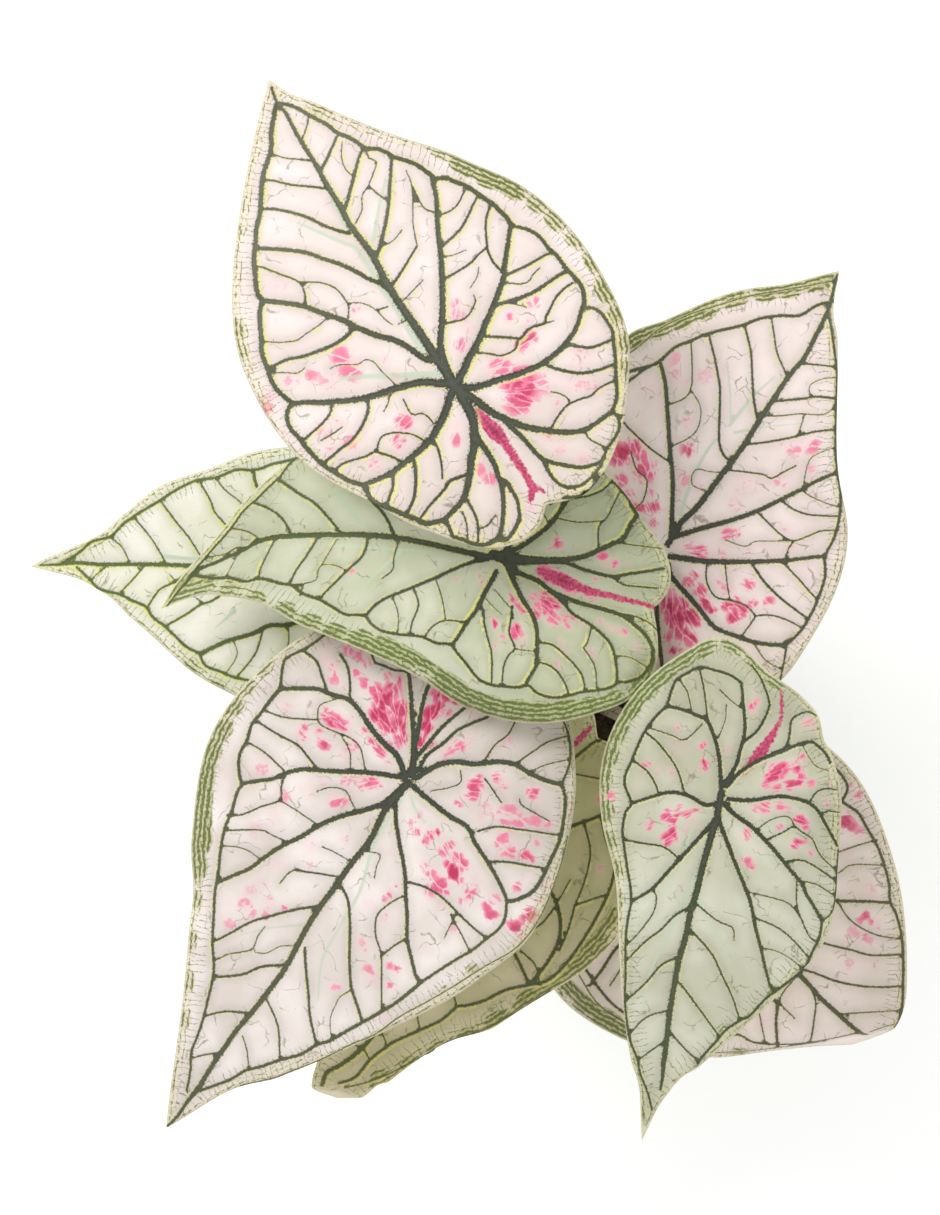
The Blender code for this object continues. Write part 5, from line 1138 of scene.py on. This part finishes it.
# %% Upper leaf skin
def upper_skin(name):
    tone = TONES[name]
    made, tree, shader = new_material("satin leaf skin, " + name.replace("_", " "), Roughness=0.5,
                                      IOR=1.42, Specular_IOR_Level=0.3)
    fact = {f: add(tree, "Attribute", out="Fac", attribute_name=f)
            for f in ("vein", "vein_half", "halo", "crease", "fold", "edge", "along", "reach",
                      "blush", "olive")}
    flat = add(tree, "Attribute", out="Vector", attribute_name="plan")
    spoke = add(tree, "Attribute", out="Vector", attribute_name="spoke")
    plan = add(tree, "VectorMath", {0: flat, 1: (tone.seed * 310.0, tone.seed * 170.0, 0)}, operation="ADD")
    spoke = add(tree, "VectorMath", {0: spoke, 1: (0, 0, tone.seed * 210.0)}, operation="ADD")

    # painted shade: the ground turns to its shade colour in broad random clouds and, as painted shade, towards
    # the rear lobes behind the hub
    broad = add(tree, "TexNoise", {"Vector": plan, "Scale": 0.035, "Detail": 3.0})
    cloud = add(tree, "MapRange", {"Value": broad, "From Min": 0.38, "From Max": 0.6})
    ahead = add(tree, "SeparateXYZ", {"Vector": flat}, out="Y")
    painted_rear_shade = add(tree, "MapRange", {"Value": ahead, "From Min": 15.0, "From Max": -60.0})
    cloud = add(tree, "Math", {0: cloud, 1: 0.7, 2: painted_rear_shade}, operation="MULTIPLY_ADD", use_clamp=True)
    colour = add(tree, "Mix", {"Factor": cloud, "A": linear(tone.ground), "B": linear(tone.shade)},
                 data_type="RGBA")
    grain = add(tree, "TexNoise", {"Vector": plan, "Scale": 1.6, "Detail": 3.0})
    grain = add(tree, "MapRange", {"Value": grain, "From Min": 0.3, "From Max": 0.7, "To Min": 0.96,
                                   "To Max": 1.02})
    colour = add(tree, "VectorMath", {0: colour, "Scale": grain}, operation="SCALE")
    # painted shade beside the veins, where the swollen skin dips, and a slight painted light between them
    painted_vein_shade = add(tree, "MapRange", {"Value": fact["vein"], "From Max": 4.5, "To Min": 0.9, "To Max": 1.03},
                interpolation_type="SMOOTHSTEP")
    colour = add(tree, "VectorMath", {0: colour, "Scale": painted_vein_shade}, operation="SCALE")

    # the thinnest veins, a wavy net that is often broken off
    warp = add(tree, "TexNoise", {"Vector": plan, "Scale": 0.16, "Detail": 1.0}, out="Color")
    warp = add(tree, "VectorMath", {0: warp, 1: (0.5, 0.5, 0.5)}, operation="SUBTRACT")
    bent = add(tree, "VectorMath", {0: warp, 1: (8, 8, 0), 2: plan}, operation="MULTIPLY_ADD")
    shake = add(tree, "TexNoise", {"Vector": plan, "Scale": 1.3, "Detail": 1.0}, out="Color")
    bent = add(tree, "VectorMath", {0: shake, 1: (1.1, 1.1, 0), 2: bent}, operation="MULTIPLY_ADD")
    net = add(tree, "TexVoronoi", {"Vector": bent, "Scale": 0.085}, feature="DISTANCE_TO_EDGE")
    net = add(tree, "MapRange", {"Value": net, "From Min": 0.021, "From Max": 0.007},
              interpolation_type="SMOOTHSTEP")
    patchy = add(tree, "TexNoise", {"Vector": plan, "Scale": 0.11, "Detail": 2.0})
    patchy = add(tree, "MapRange", {"Value": patchy, "From Min": 0.5, "From Max": 0.6, "To Max": 0.6})
    net = add(tree, "Math", {0: net, 1: patchy}, operation="MULTIPLY")
    colour = add(tree, "Mix", {"Factor": net, "A": colour, "B": linear("#7A7252")}, data_type="RGBA")

    # pink blotches, broken into cells that are long towards the hub
    stretch = add(tree, "VectorMath", {0: spoke, 1: (0.16, 0.16, 0.105)}, operation="MULTIPLY")
    ragged = add(tree, "TexNoise", {"Vector": stretch, "Scale": 1.6, "Detail": 2.0}, out="Color")
    stretch = add(tree, "VectorMath", {0: ragged, 1: (0.55, 0.55, 0.55), 2: stretch}, operation="MULTIPLY_ADD")
    lot = add(tree, "TexVoronoi", {"Vector": stretch, "Scale": 1.0}, out="Color", feature="F1")
    lot = add(tree, "SeparateColor", {"Color": lot}, out="Red")
    wall = add(tree, "TexVoronoi", {"Vector": stretch, "Scale": 1.0}, feature="DISTANCE_TO_EDGE")
    wall = add(tree, "MapRange", {"Value": wall, "From Min": 0.0, "From Max": 0.14, "To Min": 0.8,
                                  "To Max": 0.0}, interpolation_type="SMOOTHSTEP")
    torn = add(tree, "TexNoise", {"Vector": plan, "Scale": 0.7, "Detail": 4.0, "Roughness": 0.7})
    torn = add(tree, "Math", {0: torn, 1: 0.5}, operation="SUBTRACT")
    pink = add(tree, "Math", {0: fact["blush"], 1: 1.5}, operation="MULTIPLY")
    pink = add(tree, "Math", {0: pink, 1: wall}, operation="SUBTRACT")
    pink = add(tree, "Math", {0: lot, 1: -0.85, 2: pink}, operation="MULTIPLY_ADD")
    pink = add(tree, "Math", {0: torn, 1: 1.3, 2: pink}, operation="MULTIPLY_ADD")
    full = add(tree, "MapRange", {"Value": pink, "From Min": 0.1, "From Max": 0.42},
               interpolation_type="SMOOTHSTEP")
    strong = add(tree, "MapRange", {"Value": fact["blush"], "From Min": 0.1, "From Max": 0.9,
                                    "To Min": 0.45, "To Max": 0.97})
    full = add(tree, "Math", {0: full, 1: strong}, operation="MULTIPLY")
    haze = add(tree, "Math", {0: torn, 1: 1.2, 2: fact["blush"]}, operation="MULTIPLY_ADD")
    haze = add(tree, "MapRange", {"Value": haze, "From Max": 1.0, "To Max": 0.42})
    full = add(tree, "Math", {0: full, 1: haze}, operation="MAXIMUM")
    depth = add(tree, "Math", {0: fact["blush"], 1: 0.55, 2: pink}, operation="MULTIPLY_ADD")
    pale = add(tree, "MapRange", {"Value": depth, "From Min": 0.2, "From Max": 1.0})
    pinks = add(tree, "Mix", {"Factor": pale, "A": linear("#F0B7C6"), "B": linear("#EA7598")},
                data_type="RGBA")
    deep = add(tree, "MapRange", {"Value": depth, "From Min": 1.1, "From Max": 2.0})
    pinks = add(tree, "Mix", {"Factor": deep, "A": pinks, "B": linear("#BC2C58")}, data_type="RGBA")
    colour = add(tree, "Mix", {"Factor": full, "A": colour, "B": pinks}, data_type="RGBA")

    # olive stripes and ticks between the last ring vein and the margin
    sway = add(tree, "TexNoise", {"Vector": plan, "Scale": 0.22, "Detail": 3.0})
    depthwise = add(tree, "Math", {0: sway, 1: 2.6, 2: fact["edge"]}, operation="MULTIPLY_ADD")
    ripple = add(tree, "Math", {0: depthwise, 1: 3.0}, operation="MULTIPLY")
    ripple = add(tree, "Math", {0: ripple}, operation="SINE")
    streak = add(tree, "CombineXYZ", {"X": fact["along"], "Y": fact["edge"], "Z": 0.0})
    streak = add(tree, "VectorMath", {0: streak, 1: (0.5, 1.3, 0)}, operation="MULTIPLY")
    dash = add(tree, "TexNoise", {"Vector": streak, "Scale": 1.0, "Detail": 4.0, "Roughness": 0.7})
    ripple = add(tree, "Math", {0: ripple, 1: 0.55}, operation="MULTIPLY")
    ripple = add(tree, "Math", {0: dash, 1: 4.4, 2: ripple}, operation="MULTIPLY_ADD")
    ripple = add(tree, "Math", {0: fact["olive"], 1: 0.75, 2: ripple}, operation="MULTIPLY_ADD")
    ripple = add(tree, "MapRange", {"Value": ripple, "From Min": 2.5, "From Max": 3.0},
                 interpolation_type="SMOOTHSTEP")
    where = add(tree, "TexNoise", {"Vector": plan, "Scale": 0.03, "Detail": 1.0})
    where = add(tree, "MapRange", {"Value": where, "From Min": 0.4, "From Max": 0.62, "To Min": 2.2,
                                   "To Max": 5.0})
    where = add(tree, "Math", {0: fact["olive"], 1: 4.5, 2: where}, operation="MULTIPLY_ADD")
    inner = add(tree, "Math", {0: fact["edge"], 1: where}, operation="SUBTRACT")
    inner = add(tree, "Math", {0: sway, 1: 2.0, 2: inner}, operation="MULTIPLY_ADD")
    inner = add(tree, "MapRange", {"Value": inner, "From Min": 1.5, "From Max": 0.3})
    outer = add(tree, "MapRange", {"Value": fact["edge"], "From Min": 0.3, "From Max": 0.9})
    ripple = add(tree, "Math", {0: ripple, 1: inner}, operation="MULTIPLY")
    ripple = add(tree, "Math", {0: ripple, 1: outer}, operation="MULTIPLY")
    cream = add(tree, "Math", {0: inner, 1: 0.35}, operation="MULTIPLY")
    colour = add(tree, "Mix", {"Factor": cream, "A": colour, "B": linear("#DDD5A6")}, data_type="RGBA")
    green = add(tree, "Math", {0: inner, 1: fact["olive"]}, operation="MULTIPLY")
    green = add(tree, "Math", {0: green, 1: 0.6}, operation="MULTIPLY")
    colour = add(tree, "Mix", {"Factor": green, "A": colour, "B": linear(tone.stripe)}, data_type="RGBA")
    dense = add(tree, "Mix", {"Factor": fact["olive"], "A": linear("#7C7F4C"), "B": linear("#69743C")},
                data_type="RGBA")
    colour = add(tree, "Mix", {"Factor": ripple, "A": colour, "B": dense}, data_type="RGBA")
    tick = add(tree, "Math", {0: fact["along"], 1: 0.36}, operation="MULTIPLY")
    tick = add(tree, "Math", {0: sway, 1: 1.3, 2: tick}, operation="MULTIPLY_ADD")
    tick = add(tree, "TexVoronoi", {"W": tick, "Scale": 1.0}, voronoi_dimensions="1D",
               feature="DISTANCE_TO_EDGE")
    tick = add(tree, "MapRange", {"Value": tick, "From Min": 0.1, "From Max": 0.03},
               interpolation_type="SMOOTHSTEP")
    zone = add(tree, "MapRange", {"Value": fact["edge"], "From Min": 9.5, "From Max": 7.5})
    tick = add(tree, "Math", {0: tick, 1: zone}, operation="MULTIPLY")
    some = add(tree, "MapRange", {"Value": dash, "From Min": 0.4, "From Max": 0.55, "To Max": 0.8})
    tick = add(tree, "Math", {0: tick, 1: some}, operation="MULTIPLY")
    colour = add(tree, "Mix", {"Factor": tick, "A": colour, "B": linear("#646A3E")}, data_type="RGBA")
    rim = add(tree, "MapRange", {"Value": fact["edge"], "From Min": 0.7, "From Max": 0.2, "To Max": 0.7})
    colour = add(tree, "Mix", {"Factor": rim, "A": colour, "B": linear("#E2D8B4")}, data_type="RGBA")

    # creases, then yellow edges, then veins
    crease = add(tree, "MapRange", {"Value": fact["crease"], "From Min": 0.3, "From Max": -0.9,
                                    "To Max": 0.75}, interpolation_type="SMOOTHSTEP")
    colour = add(tree, "Mix", {"Factor": crease, "A": colour, "B": linear("#BCCDB3")}, data_type="RGBA")
    fray = add(tree, "TexNoise", {"Vector": plan, "Scale": 1.0, "Detail": 3.0, "Roughness": 0.65})
    red = add(tree, "Math", {0: torn, 1: -3.4, 2: fact["fold"]}, operation="MULTIPLY_ADD")
    red = add(tree, "MapRange", {"Value": red, "From Min": 0.7, "From Max": -0.3},
              interpolation_type="SMOOTHSTEP")
    speck = add(tree, "MapRange", {"Value": torn, "From Min": -0.16, "From Max": 0.12})
    reds = add(tree, "Mix", {"Factor": speck, "A": linear("#D9668A"), "B": linear("#A82A50")},
               data_type="RGBA")
    deep = add(tree, "MapRange", {"Value": fact["fold"], "From Min": -1.2, "From Max": -2.6, "To Max": 0.6})
    reds = add(tree, "Mix", {"Factor": deep, "A": reds, "B": linear("#741E3C")}, data_type="RGBA")
    colour = add(tree, "Mix", {"Factor": red, "A": colour, "B": reds}, data_type="RGBA")
    fray = add(tree, "Math", {0: fray, 1: 0.5}, operation="SUBTRACT")
    thick = add(tree, "Math", {0: fact["vein_half"], 1: 1.1, 2: 0.5}, operation="MULTIPLY_ADD")
    fray = add(tree, "Math", {0: fray, 1: thick}, operation="MULTIPLY")
    soft = add(tree, "Math", {0: fray, 1: fact["halo"]}, operation="ADD")
    yellow = add(tree, "MapRange", {"Value": soft, "From Min": 0.65, "From Max": -0.05},
                 interpolation_type="SMOOTHSTEP")
    bright = add(tree, "MapRange", {"Value": broad, "From Min": 0.35, "From Max": 0.6, "To Min": 0.45})
    yellow = add(tree, "Math", {0: yellow, 1: bright}, operation="MULTIPLY")
    colour = add(tree, "Mix", {"Factor": yellow, "A": colour, "B": linear(tone.yellow)}, data_type="RGBA")
    spike = add(tree, "TexNoise", {"Vector": plan, "Scale": 1.9, "Detail": 1.0})
    spike = add(tree, "MapRange", {"Value": spike, "From Min": 0.54, "From Max": 0.75, "To Max": -0.5})
    spike = add(tree, "Math", {0: spike, 1: thick}, operation="MULTIPLY")
    crisp = add(tree, "Math", {0: fray, 1: 1.1, 2: fact["vein"]}, operation="MULTIPLY_ADD")
    crisp = add(tree, "Math", {0: crisp, 1: spike}, operation="ADD")
    core = add(tree, "MapRange", {"Value": crisp, "From Min": 0.2, "From Max": -0.3},
               interpolation_type="SMOOTHSTEP")
    far = add(tree, "MapRange", {"Value": fact["reach"], "From Min": 8.0, "From Max": 80.0, "To Max": 0.6})
    fibre = add(tree, "TexNoise", {"Vector": spoke, "Scale": 0.8, "Detail": 5.0, "Roughness": 0.65})
    fibre = add(tree, "MapRange", {"Value": fibre, "From Min": 0.35, "From Max": 0.65})
    far = add(tree, "Math", {0: fibre, 1: 0.35, 2: far}, operation="MULTIPLY_ADD")
    dark = add(tree, "Mix", {"Factor": far, "A": linear("#33352E"), "B": linear(tone.vein)},
               data_type="RGBA")
    # painted sheen: a lighter grey along the middle of the wider veins, broken up by the fibre streaks
    painted_vein_sheen = add(tree, "MapRange", {"Value": fact["vein"], "From Min": -0.5, "From Max": -1.8, "To Max": 0.5})
    painted_vein_sheen = add(tree, "Math", {0: painted_vein_sheen, 1: fibre}, operation="MULTIPLY")
    dark = add(tree, "Mix", {"Factor": painted_vein_sheen, "A": dark, "B": linear("#6C7268")}, data_type="RGBA")
    colour = add(tree, "Mix", {"Factor": core, "A": colour, "B": dark}, data_type="RGBA")
    tree.links.new(colour, shader.inputs["Base Color"])

    rough = add(tree, "MapRange", {"Value": core, "To Min": 0.52, "To Max": 0.42})
    tree.links.new(rough, shader.inputs["Roughness"])
    relief = add(tree, "Math", {0: core, 1: -0.6, 2: grain}, operation="MULTIPLY_ADD")
    bump = add(tree, "Bump", {"Strength": 0.35, "Distance": 0.0002, "Height": relief})
    tree.links.new(bump, shader.inputs["Normal"])
    return made


UPPER_SKIN = {name: upper_skin(name) for name in LEAVES}
print("upper skins:", len(UPPER_SKIN))

# %% [markdown]
# The underside is paler and duller: its ribs are smooth and light green, and the pink only glows
# through.

# %% Under leaf skin
def under_skin():
    made, tree, shader = new_material("dull under skin of a leaf", Roughness=0.6, IOR=1.4)
    plan = add(tree, "Attribute", out="Vector", attribute_name="plan")
    vein = add(tree, "Attribute", out="Fac", attribute_name="vein")
    pink = add(tree, "Attribute", out="Fac", attribute_name="blush")
    cloud = add(tree, "TexNoise", {"Vector": plan, "Scale": 0.06, "Detail": 5.0})
    colour = add(tree, "Mix", {"Factor": cloud, "A": linear("#CBD2B6"), "B": linear("#B3C09A")},
                 data_type="RGBA")
    glow = add(tree, "MapRange", {"Value": pink, "From Min": 0.2, "From Max": 1.2, "To Max": 0.45})
    colour = add(tree, "Mix", {"Factor": glow, "A": colour, "B": linear("#D9A7AE")}, data_type="RGBA")
    side = add(tree, "MapRange", {"Value": vein, "From Min": 0.8, "From Max": 0.0, "To Max": 0.7},
               interpolation_type="SMOOTHSTEP")
    colour = add(tree, "Mix", {"Factor": side, "A": colour, "B": linear("#7E8F5E")}, data_type="RGBA")
    rib = add(tree, "MapRange", {"Value": vein, "From Min": -0.2, "From Max": -1.2},
              interpolation_type="SMOOTHSTEP")
    colour = add(tree, "Mix", {"Factor": rib, "A": colour, "B": linear("#A9B58A")}, data_type="RGBA")
    tree.links.new(colour, shader.inputs["Base Color"])
    fine = add(tree, "TexNoise", {"Vector": plan, "Scale": 2.0, "Detail": 3.0})
    bump = add(tree, "Bump", {"Strength": 0.3, "Distance": 0.0002, "Height": fine})
    tree.links.new(bump, shader.inputs["Normal"])
    return made


UNDER_SKIN = under_skin()

# %% Make the eight leaves
for name, blade in BLADES.items():
    print(name, make_leaf(name, blade), "faces")

# %% [markdown]
# ## Stalks
#
# A stalk is a smooth, slightly glossy tube, grey-beige with dark streaky speckles. It leaves the
# soil thick, thins on its way up and widens again where it enters the blade.

# %% Stalks
SOIL_TOP, SOIL_MOUND, STALK_DEPTH, STALK_RING = 103.0, 4.0, 13.0, 14.5
STALK_RADII = ((0.0, 3.4), (0.5, 2.6), (0.85, 2.05), (1.0, 2.1))


def stalk_skin():
    made, tree, shader = new_material("speckled stalk skin", Roughness=0.38, IOR=1.42)
    place = add(tree, "TexCoord", out="Object")
    long = add(tree, "VectorMath", {0: place, 1: (1000, 1000, 260)}, operation="MULTIPLY")
    speck = add(tree, "TexNoise", {"Vector": long, "Scale": 0.9, "Detail": 4.0, "Roughness": 0.7})
    speck = add(tree, "MapRange", {"Value": speck, "From Min": 0.5, "From Max": 0.62})
    cloud = add(tree, "TexNoise", {"Vector": place, "Scale": 90.0, "Detail": 3.0})
    colour = add(tree, "Mix", {"Factor": cloud, "A": linear("#A79C84"), "B": linear("#8E8668")},
                 data_type="RGBA")
    colour = add(tree, "Mix", {"Factor": speck, "A": colour, "B": linear("#3E362C")}, data_type="RGBA")
    tree.links.new(colour, shader.inputs["Base Color"])
    bump = add(tree, "Bump", {"Strength": 0.2, "Distance": 0.0002, "Height": speck})
    tree.links.new(bump, shader.inputs["Normal"])
    return made


def stalk_way(leaf):
    """Points along a stalk's middle, mm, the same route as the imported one."""
    turn = math.radians(leaf.foot_deg)
    foot = Vector((math.sin(turn) * STALK_RING, math.cos(turn) * STALK_RING,
                   SOIL_TOP + SOIL_MOUND - STALK_DEPTH))
    lean = Vector(leaf.lean)
    collar = foot + (lean - foot).normalized() * STALK_DEPTH * 1.3
    normal = Blade(leaf).hub_normal()
    top = Vector(leaf.hub) - normal * (BLADE_THICKNESS + TOUCH_GAP)
    reach = (top - lean).length * 0.45
    knots = (collar, lean, top - normal * reach, top)
    way = [foot, foot.lerp(collar, 0.5)]
    for i in range(41):
        t = i / 40
        way.append(sum((knots[k] * math.comb(3, k) * t**k * (1 - t) ** (3 - k) for k in range(4)),
                       Vector((0, 0, 0))))
    return way


def make_stalk(name, leaf, skin):
    way = stalk_way(leaf)
    curve = bpy.data.curves.new("petiole_" + name, "CURVE")
    curve.dimensions = "3D"
    curve.bevel_depth = MM
    curve.bevel_resolution = 4
    curve.use_fill_caps = True
    spline = curve.splines.new("POLY")
    spline.points.add(len(way) - 1)
    for i, (point, place) in enumerate(zip(spline.points, way)):
        part = i / (len(way) - 1)
        point.co = (*(place * MM), 1)
        point.radius = np.interp(part, *zip(*STALK_RADII))
    tube = bpy.data.objects.new("petiole_tube_" + name, curve)
    mesh = bpy.data.meshes.new_from_object(tube)
    bpy.data.objects.remove(tube)
    mesh.materials.clear()
    mesh.materials.append(skin)
    mesh.shade_smooth()
    stalk = bpy.data.objects.new("petiole_" + name, mesh)
    scene.collection.objects.link(stalk)
    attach(stalk, "root")
    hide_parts("stalk_" + name)


skin = stalk_skin()
for name, leaf in LEAVES.items():
    make_stalk(name, leaf, skin)
print("stalks:", len(LEAVES))

# %% [markdown]
# ## Soil
#
# Damp bark and peat: dark brown crumbs of one to five millimetres, with a few white grains of
# perlite. A finely cut disc is pushed up and down by noise, and loose crumbs lie on it.

# %% Soil
def soil_skin(name, light, dark, roughness):
    made, tree, shader = new_material(name, Roughness=roughness, IOR=1.4)
    place = add(tree, "TexCoord", out="Object")
    cloud = add(tree, "TexNoise", {"Vector": place, "Scale": 240.0, "Detail": 6.0, "Roughness": 0.7})
    cloud = add(tree, "MapRange", {"Value": cloud, "From Min": 0.35, "From Max": 0.65})
    colour = add(tree, "Mix", {"Factor": cloud, "A": linear(dark), "B": linear(light)}, data_type="RGBA")
    tree.links.new(colour, shader.inputs["Base Color"])
    crumb = add(tree, "TexVoronoi", {"Vector": place, "Scale": 900.0})
    bump = add(tree, "Bump", {"Strength": 0.7, "Distance": 0.0006, "Height": crumb})
    tree.links.new(bump, shader.inputs["Normal"])
    return made


POT_HEIGHT, RIM_RADIUS, RIM_BAND, RIM_STEP = 118.0, 67.5, 15.0, 3.0
FOOT_RADIUS, POT_WALL, POT_FLOOR = 47.0, 2.2, 3.0
SOIL_RADIUS = 61.0
peat = soil_skin("damp bark and peat", "#4A3A28", "#1D1610", 0.9)
perlite = soil_skin("perlite grains", "#E8E4DA", "#C9C2B4", 0.8)


def soil_height(x, y):
    reach = math.hypot(x, y) / SOIL_RADIUS
    lump = noise.noise(Vector((x, y, 0)) / 9.0) + 0.5 * noise.noise(Vector((x, y, 40)) / 4.0)
    crumb = noise.turbulence(Vector((x, y, 9)) / 3.2, 3, True)
    return SOIL_TOP + SOIL_MOUND * (1 - reach * reach) + 1.6 * lump + 1.5 * (crumb - 0.5)


def make_soil():
    bm = bmesh.new()
    rings, sides = 56, 180
    centre = bm.verts.new((0, 0, soil_height(0, 0) * MM))
    loops = []
    for ring in range(1, rings + 1):
        radius = SOIL_RADIUS * (ring / rings) ** 0.8
        loop = []
        for side in range(sides):
            x, y = radius * math.cos(2 * math.pi * side / sides), radius * math.sin(2 * math.pi * side / sides)
            loop.append(bm.verts.new((x * MM, y * MM, soil_height(x, y) * MM)))
        loops.append(loop)
    low = [bm.verts.new((v.co.x * 0.97, v.co.y * 0.97, (SOIL_TOP - 14) * MM)) for v in loops[-1]]
    bottom = bm.verts.new((0, 0, (SOIL_TOP - 14) * MM))
    for side in range(sides):
        after = (side + 1) % sides
        bm.faces.new((centre, loops[0][side], loops[0][after]))
        for inner, outer in zip(loops, loops[1:] + [low]):
            bm.faces.new((inner[side], outer[side], outer[after], inner[after]))
        bm.faces.new((bottom, low[after], low[side]))
    for grain in range(520):
        white = grain % 11 == 0
        size = rng.uniform(0.7, 2.1) * (0.9 if white else 1.0)
        radius, turn = SOIL_RADIUS * math.sqrt(rng.uniform(0.0, 0.92)), rng.uniform(0, 2 * math.pi)
        x, y = radius * math.cos(turn), radius * math.sin(turn)
        made = bmesh.ops.create_icosphere(bm, subdivisions=2, radius=size * MM)
        flat = rng.uniform(0.45, 0.9)
        seed = rng.uniform(0, 99)
        for vertex in made["verts"]:
            push = 1 + 0.45 * noise.noise(vertex.co / MM / size * 1.3 + Vector((seed, 0, 0)))
            vertex.co *= push
            vertex.co.z *= flat
            vertex.co += Vector((x, y, soil_height(x, y) + 0.3 * size)) * MM
            for face in vertex.link_faces:
                face.material_index = 1 if white else 0
    mesh = bpy.data.meshes.new("potting_soil")
    bm.to_mesh(mesh)
    bm.free()
    mesh.materials.append(peat)
    mesh.materials.append(perlite)
    mesh.shade_smooth()
    soil = bpy.data.objects.new("potting_soil", mesh)
    scene.collection.objects.link(soil)
    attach(soil, "root")
    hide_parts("soil")
    return len(mesh.polygons)


print("soil faces:", make_soil())

# %% [markdown]
# ## Pot
#
# A thin nursery pot, blown from matt black polypropylene: a rolled rim, a stepped band and drainage
# holes. The plastic is a little grey, with faint turning marks and dust where it was handled.

# %% Pot
def pot_skin():
    made, tree, shader = new_material("matt black polypropylene", Roughness=0.55, IOR=1.49)
    place = add(tree, "TexCoord", out="Object")
    cloud = add(tree, "TexNoise", {"Vector": place, "Scale": 60.0, "Detail": 6.0, "Roughness": 0.65})
    dust = add(tree, "MapRange", {"Value": cloud, "From Min": 0.45, "From Max": 0.75, "To Max": 0.5})
    colour = add(tree, "Mix", {"Factor": dust, "A": linear("#232323"), "B": linear("#3B3833")},
                 data_type="RGBA")
    tree.links.new(colour, shader.inputs["Base Color"])
    rough = add(tree, "MapRange", {"Value": cloud, "To Min": 0.45, "To Max": 0.68})
    tree.links.new(rough, shader.inputs["Roughness"])
    rings = add(tree, "VectorMath", {0: place, 1: (20, 20, 1400)}, operation="MULTIPLY")
    rings = add(tree, "TexNoise", {"Vector": rings, "Scale": 1.0, "Detail": 2.0})
    bump = add(tree, "Bump", {"Strength": 0.15, "Distance": 0.0003, "Height": rings})
    tree.links.new(bump, shader.inputs["Normal"])
    return made


for material_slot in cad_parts["pot"].material_slots:
    material_slot.material = pot_skin()

# %% [markdown]
# ## Studio
#
# A plain white floor and soft light: one large lamp over the left shoulder, one weaker on the other
# side, and a bright sky all round that fills the shadows.

# %% Floor and light
scene.view_settings.view_transform = "Standard"
floor_mesh = bpy.data.meshes.new("floor")
floor_mesh.from_pydata([(-6, -6, 0), (6, -6, 0), (6, 6, 0), (-6, 6, 0)], [], [(0, 1, 2, 3)])
floor = bpy.data.objects.new("floor", floor_mesh)
floor.location.z = -0.0003
scene.collection.objects.link(floor)
paper, tree, shader = new_material("white studio paper", Roughness=0.9, Emission_Strength=0.25,
                                   Emission_Color=(1, 1, 1, 1))
mottle = add(tree, "TexNoise", {"Vector": add(tree, "TexCoord", out="Object"), "Scale": 3.0})
white = add(tree, "Mix", {"Factor": mottle, "A": linear("#FDFDFD"), "B": linear("#FBFBFB")},
            data_type="RGBA")
tree.links.new(white, shader.inputs["Base Color"])
floor_mesh.materials.append(paper)

world = bpy.data.worlds.new("bright studio")
world.use_nodes = True
world.node_tree.nodes["Background"].inputs["Color"].default_value = (1, 1, 1, 1)
world.node_tree.nodes["Background"].inputs["Strength"].default_value = 0.72
scene.world = world


def lamp(name, place, size, watts):
    light = bpy.data.lights.new(name, "AREA")
    light.shape = "DISK"
    light.size = size
    light.energy = watts
    made = bpy.data.objects.new(name, light)
    made.location = place
    made.rotation_euler = (Vector((0, 0, 0.2)) - Vector(place)).to_track_quat("-Z", "Y").to_euler()
    made.visible_camera = False
    scene.collection.objects.link(made)


lamp("key", (-1.4, 1.3, 2.4), 1.3, 42)
lamp("fill", (1.8, -0.9, 2.0), 2.0, 10)
